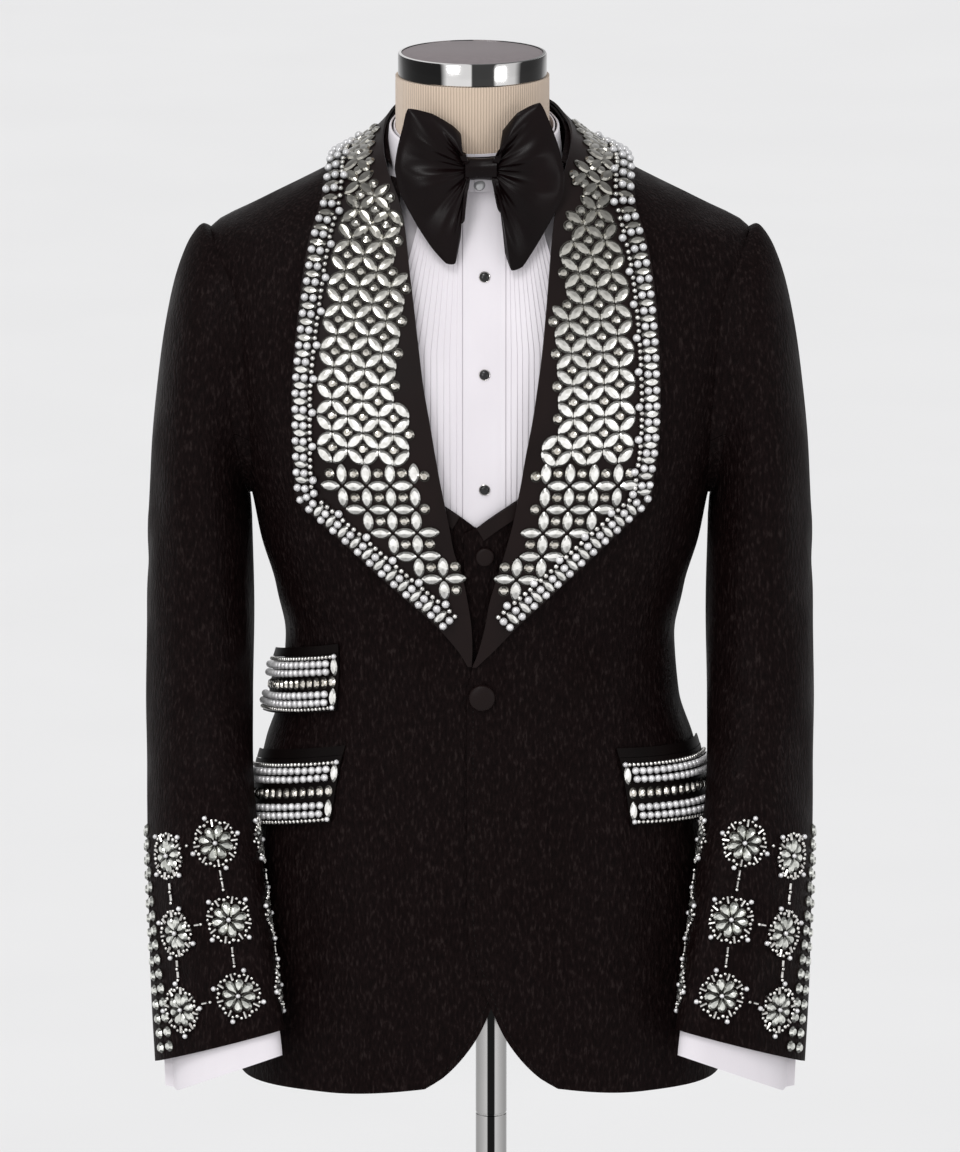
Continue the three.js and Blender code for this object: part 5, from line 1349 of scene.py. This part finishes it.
def bow_wings():
    v = np.concatenate([np.linspace(0, 0.12, 6)[:-1], np.linspace(0.12, 1, 46)])[:, None]
    for name, rows, sign in (("left", BOW_LEFT_WING, 1), ("right", BOW_RIGHT_WING, -1)):
        last = len(rows) - 1
        k = np.linspace(0, last, last * 9 + 1)
        i = np.minimum(k.astype(int), last - 1)
        t = (k - i)[:, None]
        outline = through(rows[np.maximum(i - 1, 0)], rows[i], rows[i + 1],
                          rows[np.minimum(i + 2, last)], t)
        straight = rows[i] * (1 - t) + rows[i + 1] * t
        outline = BOW_ROUNDING * outline + (1 - BOW_ROUNDING) * straight
        share = 1 - 2 * k[None, :] / last
        knot_end = KNOT.x + sign * KNOT_HALF_LENGTH
        gather = (1 - v) ** 4
        reach = sign * (knot_end + (outline[:, 0] - knot_end)[None, :] * v - KNOT.x)
        least = KNOT_HALF_LENGTH + 1.3 + 2 * v
        clear = np.maximum(reach, least + 0.15 * (reach - least))
        clear = clear * (1 - gather) + (KNOT_HALF_LENGTH - 2.5) * gather
        z = KNOT.z + (outline[:, 1] - KNOT.z)[None, :] * v + 4.0 * share * gather
        belly = BOW_BELLY * np.sin(np.pi * (v * 0.9 + 0.06))
        fold = BOW_FOLD * np.sin(k * 2.1)[None, :] * np.sin(np.pi * v)
        fine = (0.85 * np.sin(k * 5.2 + 0.9) + 0.6 * np.sin(k * 8.3))[None, :] * np.sin(np.pi * v**0.6)
        fine = fine + 0.9 * np.sin(k[None, :] * 1.3 + 9 * v + 1.5 * np.sin(5 * v)) * np.sin(np.pi * v)
        roll = 1.2 * np.exp(-((v - 1) / 0.05) ** 2)
        y = KNOT.y - BOW_WALL / 2 + BOW_LEAN * (z - KNOT.z) - belly - fold - fine * (1 - v) + roll
        grid = points(KNOT.x + sign * clear, y, z)
        cloth("bow_wing_cloth_" + name, grid, 2.4, BOW_SATIN, ["bow_wing_" + name],
              outward=sign)


def bow_knot():
    turn = np.linspace(0, 2 * np.pi, 72, endpoint=False)[None, :]
    t = np.linspace(-1, 1, 34)[:, None]
    pinch = 1 + 0.14 * np.abs(t) ** 1.5 + 0.025 * np.sin(turn * 7 + t * 1.2)
    grid = points(KNOT.x + KNOT_HALF_LENGTH * t + 0 * turn,
                  KNOT.y + KNOT_HALF_DEPTH * pinch * np.cos(turn),
                  KNOT.z + KNOT_HALF_HEIGHT * pinch * np.sin(turn))
    cloth("bow_knot_cloth", grid, 1.2, BOW_SATIN, ["bow_knot"], closed=True,
          outward=-1)


# Turned pieces

def turned(name, profile, material, nodes, middle=(0.0, 0.0), axis=None, steps=96):
    """Turned piece about an upright axis at its middle, or about another axis: point and direction."""
    turns = np.linspace(0, 2 * np.pi, steps, endpoint=False)
    rings = [(r, h) for r, h in profile if r > 0]
    vertices = [(r * math.cos(a), r * math.sin(a), h) for r, h in rings for a in turns]
    faces = [tuple(int(i) for i in f) for f in grid_faces(len(rings), steps, True)]
    low, high = len(vertices), len(vertices) + 1
    vertices += [(0, 0, profile[0][1]), (0, 0, profile[-1][1])]
    top = (len(rings) - 1) * steps
    for j in range(steps):
        k = (j + 1) % steps
        faces.append((low, k, j))
        faces.append((high, top + j, top + k))
    v = np.array(vertices, float)
    if axis is not None:
        centre, normal = axis
        side = unit(np.cross([0.0, 0.0, 1.0], normal))
        up = np.cross(normal, side)
        v = centre + v[:, :1] * side + v[:, 1:2] * up + v[:, 2:] * normal
    else:
        v = v + np.array([*middle, 0.0])
    piece = add_object(name, v, faces, [material], nodes)
    piece.data.set_sharp_from_angle(angle=math.radians(35))


def dome(radius, height, rim=0.45, count=9):
    profile = [(0, 0), (radius, 0), (radius, height * rim * 0.8)]
    for i in range(count):
        t = i / count * math.pi / 2
        profile.append((radius * math.cos(t) * 0.985, height * (rim + (1 - rim) * math.sin(t))))
    return [*profile, (0, height)]


def button_axis(x, z, out):
    angle = angle_at(np.array(x), np.array(z))
    centre = on_body(angle, np.array(z), out)
    return centre, body_normal(centre)


def buttons():
    turned("jacket_button_dome", dome(10.5, 5.4), SATIN, ["jacket_button"],
           axis=button_axis(1.6, BUTTON_Z, OVERLAP + 0.3), steps=48)
    turned("waistcoat_button_dome", dome(7.5, 3.4), SATIN, ["vest_button"],
           axis=button_axis(3.9, VEST_BUTTON_Z, VEST_OUT + VEST_LIFT + 0.2), steps=40)
    for i, z in enumerate(STUD_Z, 1):
        axis = button_axis(PLACKET_X + 0.2, z, BIB_OUT + 0.95)
        turned(f"stud_dome_{i}", dome(3.9, 2.8, 0.3), STUD_BLACK, [f"shirt_stud_{i}"],
               axis=axis, steps=40)
        rim = [(0, -0.2), (4.5, -0.2), (4.5, 0.7), (4.2, 0.95), (3.8, 0.8), (0, 0.75)]
        turned(f"stud_rim_{i}", rim, CHROME, [], axis=axis, steps=40)
    turned("collar_button_pearl", dome(4.6, 2.4, 0.5), PEARL_LOOK, [],
           axis=button_axis(-0.5, COLLAR_BUTTON_Z, BIB_OUT + 3.6), steps=36)


def dress_form():
    z = np.linspace(FORM_FOOT_Z, FORM_TOP_Z, 120)[:, None]
    angle = np.linspace(0, 2 * np.pi, 112, endpoint=False)[None, :]
    grid = ring_point(FORM, angle + 0 * z, z + 0 * angle)
    rows, columns = grid.shape[:2]
    vertices = np.concatenate([grid.reshape(-1, 3), [[1, 0, FORM_FOOT_Z]],
                               [[NECK_X, NECK_Y, FORM_TOP_Z]]])
    faces = [tuple(int(i) for i in f) for f in grid_faces(rows, columns, True)]
    foot, head, top = rows * columns, rows * columns + 1, (rows - 1) * columns
    for j in range(columns):
        k = (j + 1) % columns
        faces.append((foot, k, j))
        faces.append((head, top + j, top + k))
    piece = add_object("form_jersey", vertices, faces, [JERSEY], ["form_torso"])
    piece.data.set_sharp_from_angle(angle=math.radians(60))


def stand():
    low = CAP_TOP - CAP_HEIGHT
    turned("cap_band", [(0, low), (CAP_RADIUS - 0.6, low), (CAP_RADIUS, low + 0.6),
                        (CAP_RADIUS, CAP_TOP - 1.6), (CAP_RADIUS - 0.5, CAP_TOP - 0.4),
                        (CAP_RADIUS - 1.5, CAP_TOP), (CAP_INLAY + 0.3, CAP_TOP),
                        (CAP_INLAY + 0.3, CAP_TOP - 2.3), (0, CAP_TOP - 2.3)],
           CAP_STEEL, ["neck_cap_band"], (NECK_X, NECK_Y))
    turned("cap_inlay", [(0, CAP_TOP - 2), (CAP_INLAY, CAP_TOP - 2), (CAP_INLAY, CAP_TOP - 0.8),
                         (CAP_INLAY - 0.8, CAP_TOP - 0.4), (0, CAP_TOP - 0.4)],
           CAP_GREY, ["neck_cap_inlay"], (NECK_X, NECK_Y))
    pole_foot = BASE_THICK + 0.3
    turned("pole_tube", [(0, pole_foot), (POLE_RADIUS, pole_foot), (POLE_RADIUS, 690),
                         (POLE_RADIUS - 0.7, 690.4), (POLE_RADIUS - 0.7, 691.6), (POLE_RADIUS, 692),
                         (POLE_RADIUS, FORM_FOOT_Z - SEAM_GAP), (0, FORM_FOOT_Z - SEAM_GAP)],
           POLE_STEEL, ["pole"], (POLE_X, 0.0), steps=64)
    turned("base_disc", [(0, 0), (BASE_RADIUS - 1, 0), (BASE_RADIUS, 1), (BASE_RADIUS, 5),
                         (BASE_RADIUS - 1, 6.6), (BASE_RADIUS - 4, BASE_THICK), (0, BASE_THICK)],
           CHROME, ["base_plate"], steps=128)
    flange = np.array([v.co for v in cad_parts["pole_flange"].data.vertices]) / METRES
    radii = np.hypot(flange[:, 0] - POLE_X, flange[:, 1])
    heights = np.round(flange[:, 2], 1)
    outer = [(float(radii[heights == h].max()), float(h)) for h in sorted(set(heights))]
    turned("flange_cover", [(0, outer[0][1]), *outer, (0, outer[-1][1])], CHROME,
           ["pole_flange"], (POLE_X, 0.0), steps=64)


# Beadwork of the lapels, flaps and sleeves

def border(work, surface, path, into_paths):
    """Pairs of pearls and crosswise navettes along an edge, then a line of seeds with pearls."""
    pearl = ball(PEARL, 12, 8)
    taken = []

    def free_of_others(place, size):
        """Marks the places that keep off the stones already set along the edge."""
        free = []
        for p in place:
            free.append(all(np.linalg.norm(p - q) > 0.42 * (size + other) for q, other in taken))
            if free[-1]:
                taken.append((p, size))
        return np.array(free, bool)

    def line(kind, template, size, spacing, offset, chosen, crosswise=False):
        """One row at an offset in from the edge, at the chosen ones of its even places."""
        where, ahead = stations(path, spacing, 3, 2)
        nearest = np.argmin(np.linalg.norm(path[None] - where[:, None], axis=-1), axis=1)
        across = into_paths[nearest]
        across = unit(across - ahead * (across * ahead).sum(-1, keepdims=True))
        keep = chosen(np.arange(len(where)))
        place, normal = surface.near(where[keep] + across[keep] * offset)
        free = free_of_others(place, size)
        way = across if crosswise else ahead
        work.add(kind, template, place[free], normal[free], way[keep][free])

    for offset in BORDER_PEARLS_IN:
        line("pearls", pearl, PEARL, BORDER_STEP, offset, lambda i: i % 2 == 0)
    line("navettes", navette(*BORDER_NAVETTE, 12), PEARL, BORDER_STEP, BORDER_NAVETTES_IN,
         lambda i: i % 2 == 1, True)
    line("pearls", pearl, PEARL, BORDER_SEED_STEP, LONE_PEARLS_IN, lambda i: i % 5 == 2)
    line("seeds", ball(BORDER_SEED, 10, 6), BORDER_SEED, BORDER_SEED_STEP, BORDER_SEEDS_IN,
         lambda i: i % 5 != 2)


def lapel_rows(grid):
    """How many rows lie in front, the column that the lattice follows, and its lowest row."""
    front_rows = int(len(grid) * LAPEL_FRONT_SHARE)
    middle = grid[:, int(grid.shape[1] * LATTICE_COLUMN_SHARE)]
    return front_rows, middle, int(np.argmin(np.abs(middle[:front_rows, 2] - LOWER_TOP_Z)))


def upper_lattice(work, surface, petal, gem):
    """Stones at 45 degrees to the outer edge, from the lower part up to just behind the neck."""
    grid = surface.grid
    rows, columns = grid.shape[:2]
    front_rows, middle, top_row = lapel_rows(grid)
    width = np.linalg.norm(np.diff(grid, axis=1), axis=2).sum(1)
    run = np.concatenate([[0], np.cumsum(np.linalg.norm(np.diff(middle, axis=0), axis=1))])
    start = run[top_row]
    half = PETAL_PITCH / math.sqrt(2)

    def place_at(s, t):
        """Place on the face, s along it from the lower part and t in from the outer edge."""
        row = np.interp(start + s, run, np.arange(rows))
        share = 1 - t / np.interp(row, np.arange(rows), width)
        return surface.read(row, share * (columns - 1))

    room = []
    for i, row in enumerate(grid):
        free = row[:, 0] > np.interp(row[:, 2], STONE_LIMIT[:, 0], STONE_LIMIT[:, 1])
        inner = columns - int(np.argmin(free[::-1])) if not free.all() else 0
        edge = np.linalg.norm(np.diff(row[min(inner, columns - 1):], axis=0), axis=1).sum()
        room.append(edge + LATTICE_SLACK if i < front_rows else width[i] - STONE_TO_FOLD)
    room = np.array(room)

    def last_column(s):
        """Distance in from the outer edge of the last column of nodes that fits."""
        reach = []
        for cell in np.floor((s - LATTICE_MARGIN) / (2 * half)):
            near = np.abs(run - start - LATTICE_MARGIN - (2 * cell + 1) * half) < half
            spare = room[near].mean() - LATTICE_FIRST if near.any() else 0.0
            reach.append(LATTICE_FIRST + half * np.floor(spare / half))
        return np.array(reach)

    def fits(s, t, reach, place):
        """Marks the stones that lie on the lattice's own part of the face."""
        inside = (t > LATTICE_OUTER) & (t + reach < last_column(s) + 1)
        return inside & (s > 0) & (s < run[-1] - start - LATTICE_MARGIN) & (place[:, 1] < LATTICE_BACK_Y)

    i, j = np.meshgrid(np.arange(0, 60), np.arange(-1, 9), indexing="ij")
    even = ((i + j) % 2 == 0).ravel()
    s0 = i.ravel()[even] * half + LATTICE_MARGIN
    t0 = LATTICE_FIRST + j.ravel()[even] * half
    for ds, dt in ((0.5, 0.5), (0.5, -0.5)):
        s, t = s0 + ds * half, t0 + dt * half
        place = place_at(s, t)
        good = fits(s, t, half / 2, place)
        way = place_at(s + 2 * ds, t + 2 * dt) - place
        work.lay(surface, "navettes", petal, place[good], way[good])
    place = place_at(s0 + half, t0)
    work.lay(surface, "round_stones", gem, place[fits(s0 + half, t0, 0, place)], UPWARD)


def lower_lattice(work, surface, petal, gem):
    """Upright stones on the lower part, in rows as the front view shows them."""
    front_rows, _, top_row = lapel_rows(surface.grid)
    low = surface.grid[:top_row + 20].reshape(-1, 3)
    front = kdtree.KDTree(len(low))
    for i, p in enumerate(low):
        front.insert((p[0], 0, p[2]), i)
    front.balance()
    edge = surface.grid[:front_rows, -1][:, [0, 2]]

    def depth_at(x, z):
        return low[front.find((x, 0, z))[1]][1]

    def fitting(x, z):
        """Places over points of the front view, where a stone fits."""
        kept = []
        for a, b in zip(x, z):
            inside = a < np.interp(b, edge[:, 1], edge[:, 0])
            off_edge = np.linalg.norm(edge - (a, b), axis=1).min() > LATTICE_TO_EDGE
            off_roll = a > np.interp(b, STONE_LIMIT[:, 0], STONE_LIMIT[:, 1])
            if inside and off_edge and off_roll and b < LOWER_TOP_Z:
                kept.append((a, depth_at(a, b), b))
        return np.array(kept).reshape(-1, 3)

    i, j = np.meshgrid(np.arange(-2, 8), np.arange(-2, 6), indexing="ij")
    i, j = i.ravel(), j.ravel()
    for di, dj, kind, template in ((0.5, 0, "navettes", petal), (0, 0.5, "navettes", petal),
                                   (0.5, 0.5, "round_stones", gem)):
        kept = (i <= j + (di == 0)) & (i < LOWER_COLUMNS)
        out, up = (i + di)[kept], (j + dj)[kept]
        place = fitting(LOWER_NODE[0] + LOWER_OUT[0] * out + LOWER_UP[0] * up,
                        LOWER_NODE[1] + LOWER_OUT[1] * out + LOWER_UP[1] * up)
        way = LOWER_OUT if di else LOWER_UP
        work.lay(surface, kind, template, place, [way[0], 0, way[1]])
    work.lay(surface, "round_stones", gem, [(x, depth_at(x, z), z) for x, z in ROLL_STONES], UPWARD)


def lapel_beads(surfaces):
    petal = navette(*PETAL)
    gem = round_stone(*ROUND_STONE)
    for left, side in SIDES:
        surface = surfaces[left]
        grid = surface.grid
        work = Beadwork()
        first = int(np.argmax(grid[:, -1, 2] > BORDER_FOOT_Z))
        border(work, surface, grid[first:, -1], unit(grid[first:, -8] - grid[first:, -1]))
        upper_lattice(work, surface, petal, gem)
        lower_lattice(work, surface, petal, gem)
        work.build("lapel_" + side, not left)


def flap_beads(surfaces):
    """Oval stones along the middle of a flap, between two double rows of pearls and lines of seeds."""
    for flap, surface in surfaces:
        name, side, _, _, height = flap[:5]
        rows, columns = surface.grid.shape[:2]
        work = Beadwork()
        half = 0.25 * height + 9.4  # from the row of ovals to the lines of seeds
        middle = height - 2.9 - half

        def line(down):
            """Path along the flap from its inner end, a distance down from its top edge."""
            row = np.full(columns, (1 - down / height) * (rows - 1))
            path = surface.read(row, np.arange(columns).astype(float))
            return path[::-1] if abs(path[0, 0]) > abs(path[-1, 0]) else path

        for sign in (-1, 1):
            rim = line(middle + sign * half)
            where, ahead = stations(rim, 3.9, 4.5, 1)
            work.lay(surface, "seeds", ball(3.6, 8, 5), where, ahead)
            where, ahead = stations(rim, 4.0, 0.5, 0)
            work.lay(surface, "pearls", ball(4.4, 10, 6), where[:1], ahead[:1])
            where, _ = stations(line(middle + sign * (half - 8.5)), 4.0, 1.6, 0)
            work.lay(surface, "navettes", navette(*FLAP_NAVETTE, 12), where[:1], UPWARD)
            for inner in FLAP_PEARLS_IN:
                where, _ = stations(line(middle + sign * (half - inner)), FLAP_PEARL_STEP, 7, 1)
                work.lay(surface, "pearls", ball(FLAP_PEARL, 12, 8), where, UPWARD)
        where, _ = stations(line(middle), 8.3, 1.5, 1)
        work.lay(surface, "round_stones", oval(*FLAP_OVAL), where, UPWARD)
        work.build(name + "_flap", side < 0)


def flower(work, surface, centre, normal, up, first):
    """Flower of eight pear stones round a bead, with a ring of seeds, bugles and pearls."""
    side = np.cross(up, normal)

    def spoke(turn, reach):
        out = side * math.cos(turn) + up * math.sin(turn)
        return centre + out * reach, out

    work.add("pearls", ball(4.0, 10, 6), centre, normal, up)
    for i in range(8):
        turn = first + math.pi * i / 4
        length = FLOWER_PETAL[i % 2]
        work.lay(surface, "petals", teardrop(length, 7.0, 2.6), *spoke(turn, 2.6 + length / 2))
        work.lay(surface, "bugles", bugle(5.6, 2.3), *spoke(turn + 0.39, 16.0))
        for shift, reach, size in FLOWER_SEEDS:
            work.lay(surface, "seeds", ball(size, 8, 5), *spoke(turn + shift, reach))
        if i % 2 == 0:
            work.lay(surface, "pearls", ball(4.2, 10, 6), *spoke(turn + 0.15, 21.4))


def sleeve_beads():
    turns = np.linspace(-180, 180, 361) * RAD
    grid = sleeve_surface(turns, np.linspace(0, 0.5, 160))
    surface = Surface(grid)

    def vertex(degrees, lift):
        """Row and column of the grid at a turn and a height above the hem."""
        column = int(round((degrees + 180) % 360))
        hem = SLEEVE_HEM_Z - SLEEVE_HEM_SLANT * math.sin(degrees * RAD)
        return int(np.argmin(np.abs(grid[:, column, 2] - hem - lift))), column

    def chain(work, path, spacing):
        """Beads and bugles in turn along a path between two flowers."""
        where, ahead = stations(path, spacing, FLOWER_RADIUS, FLOWER_RADIUS)
        odd = np.arange(len(where)) % 2 == 1
        work.lay(surface, "bugles", bugle(4.8, 2.0), where[odd], ahead[odd])
        work.lay(surface, "seeds", ball(2.9, 8, 5), where[~odd], ahead[~odd])

    for left, side in SIDES:
        work = Beadwork()
        for column in FLOWER_COLUMNS:
            below = None
            for row, lift in enumerate(FLOWER_LIFTS):
                i, j = vertex(FLOWER_TURNS[row] + column, lift)
                up = unit(grid[i + 1, j] - grid[i, j])
                first = 0.3 + 0.5 * row + 0.02 * column
                flower(work, surface, grid[i, j], surface.normals[i, j], up, first)
                if below is not None:
                    steps = np.linspace(0, 1, 30)[:, None]
                    chain(work, below + (grid[i, j] - below) * steps, 4.4)
                below = grid[i, j]
                _, k = vertex(FLOWER_TURNS[row] + column + FLOWER_COLUMNS[1], lift)
                arc = np.arange(j, k if k > j else k + 360) % 360
                if column != FLOWER_COLUMNS[1]:
                    chain(work, grid[i, arc], 5.2)
        for column in CABOCHON_COLUMNS:
            low, j = vertex(FLOWER_TURNS[1] + column, 4.0)
            high, _ = vertex(FLOWER_TURNS[1] + column, 182.0)
            where, ahead = stations(grid[low:high, j], 11.8, 0, 0)
            work.lay(surface, "cabochons", round_stone(8.6, 3.4), where, ahead)
        work.build("sleeve_" + side, not left)


# Sewing

def stitches(name, paths, spacing, length, thread, mirror=False):
    """Short raised stitches along paths that already lie on the cloth."""
    work = Beadwork()
    vertices, faces, looks = ball(1.0, 6, 4, 0.4)
    stitch = vertices * np.array([length, 0.55, 0.6]), faces, looks
    for path in paths:
        where, ahead = stations(path, spacing, 1, 1)
        work.add("run", stitch, where, body_normal(where), ahead)
    work.build(name, mirror, thread)


def sewing():
    z = np.linspace(BIB_BOTTOM + 2, SHIRT_NECK_FRONT - 2, 120)
    lines = []
    for sign in (-1, 1):
        x = PLACKET_X + sign * (PLACKET_HALF - 4) + 0 * z
        lines.append(on_body(angle_at(x, z), z, BIB_OUT + 0.55))
    stitches("placket_stitches", lines, 2.6, 1.8, WHITE_THREAD)
    for left, side in SIDES:
        z = np.linspace(HEM_Z + 10, BUTTON_Z, 200)
        x = front_edge(z, left) + 5
        lift = front_lift(x, left)
        edge = on_body(angle_at(x, z), z, lift + 0.05)
        side_seam = on_body(np.full(200, SIDE_SEAM - 2 / BODY_RADIUS), np.linspace(HEM_Z, 1200, 200), 0.05)
        stitches("edge_stitches_" + side, [edge, side_seam], 4.2, 2.4, THREAD, not left)


# Floor, light and camera

def floor():
    reach, steps = 45.0, 64
    ring = [(reach * math.cos(2 * math.pi * i / steps), reach * math.sin(2 * math.pi * i / steps), 0)
            for i in range(steps)]
    mesh = bpy.data.meshes.new("floor")
    mesh.from_pydata([(0, 0, 0), *ring], [], [(0, 1 + i, 1 + (i + 1) % steps) for i in range(steps)])
    look = Look("pale_floor", Roughness=0.9, Specular_IOR_Level=0.1)
    look.feed(Base_Color=look.greys(look.noise(3.0, detail=2.0), [(0.2, 0.80), (0.8, 0.82)]))
    mesh.materials.append(look.material)
    piece = bpy.data.objects.new("floor", mesh)
    bpy.context.scene.collection.objects.link(piece)


def lights():
    scene = bpy.context.scene
    scene.world = bpy.data.worlds.new("studio")
    scene.world.use_nodes = True
    background = scene.world.node_tree.nodes["Background"]
    background.inputs["Color"].default_value = (0.93, 0.93, 0.94, 1)
    background.inputs["Strength"].default_value = 0.80
    sun = bpy.data.lights.new("soft_top", "SUN")
    sun.energy = 1.05
    sun.angle = math.radians(22)
    lamp = bpy.data.objects.new("soft_top", sun)
    lamp.rotation_euler = (math.radians(34), math.radians(-16), 0)
    scene.collection.objects.link(lamp)
    for name, place, size, energy in (("key", (-1.9, -3.4, 2.3), 1.1, 22.0),
                                      ("fill", (2.6, -2.8, 1.7), 1.3, 10.0)):
        light = bpy.data.lights.new(name, "AREA")
        light.shape = "RECTANGLE"
        light.size = size
        light.size_y = size * 0.7
        light.energy = energy
        lamp = bpy.data.objects.new(name, light)
        lamp.location = place
        aim = Vector((0, 0, 1.1)) - Vector(place)
        lamp.rotation_euler = aim.to_track_quat("-Z", "Y").to_euler()
        scene.collection.objects.link(lamp)


def camera():
    """Camera at the photograph's angle, its picture as high at the target as the photograph's."""
    scene = bpy.context.scene
    target = Vector((0, 0, CAMERA_TARGET_Z))
    elevation = math.radians(CAMERA_ELEVATION)
    back = Vector((0, -math.cos(elevation), math.sin(elevation)))
    eye = bpy.data.objects.new("camera", bpy.data.cameras.new("camera"))
    eye.location = target + back * CAMERA_DISTANCE
    eye.rotation_euler = (target - eye.location).to_track_quat("-Z", "Y").to_euler()
    eye.data.sensor_width = 36.0
    eye.data.lens = eye.data.sensor_width * CAMERA_DISTANCE / PICTURE_HEIGHT
    eye.data.clip_end = 120.0
    scene.collection.objects.link(eye)
    scene.camera = eye
    scene.view_settings.view_transform = "Standard"
    scene.view_settings.look = "None"


floor()
lights()
camera()
jacket_fronts()
jacket_sides_and_backs()
sleeves()
shirt_cuffs()
lapel_faces = lapels()
collar_stand()
flap_faces = pockets()
waistcoat()
shirt_body()
shirt_bibs()
shirt_collar()
bow_knot()
bow_wings()
buttons()
dress_form()
stand()
lapel_beads(lapel_faces)
flap_beads(flap_faces)
sleeve_beads()
sewing()
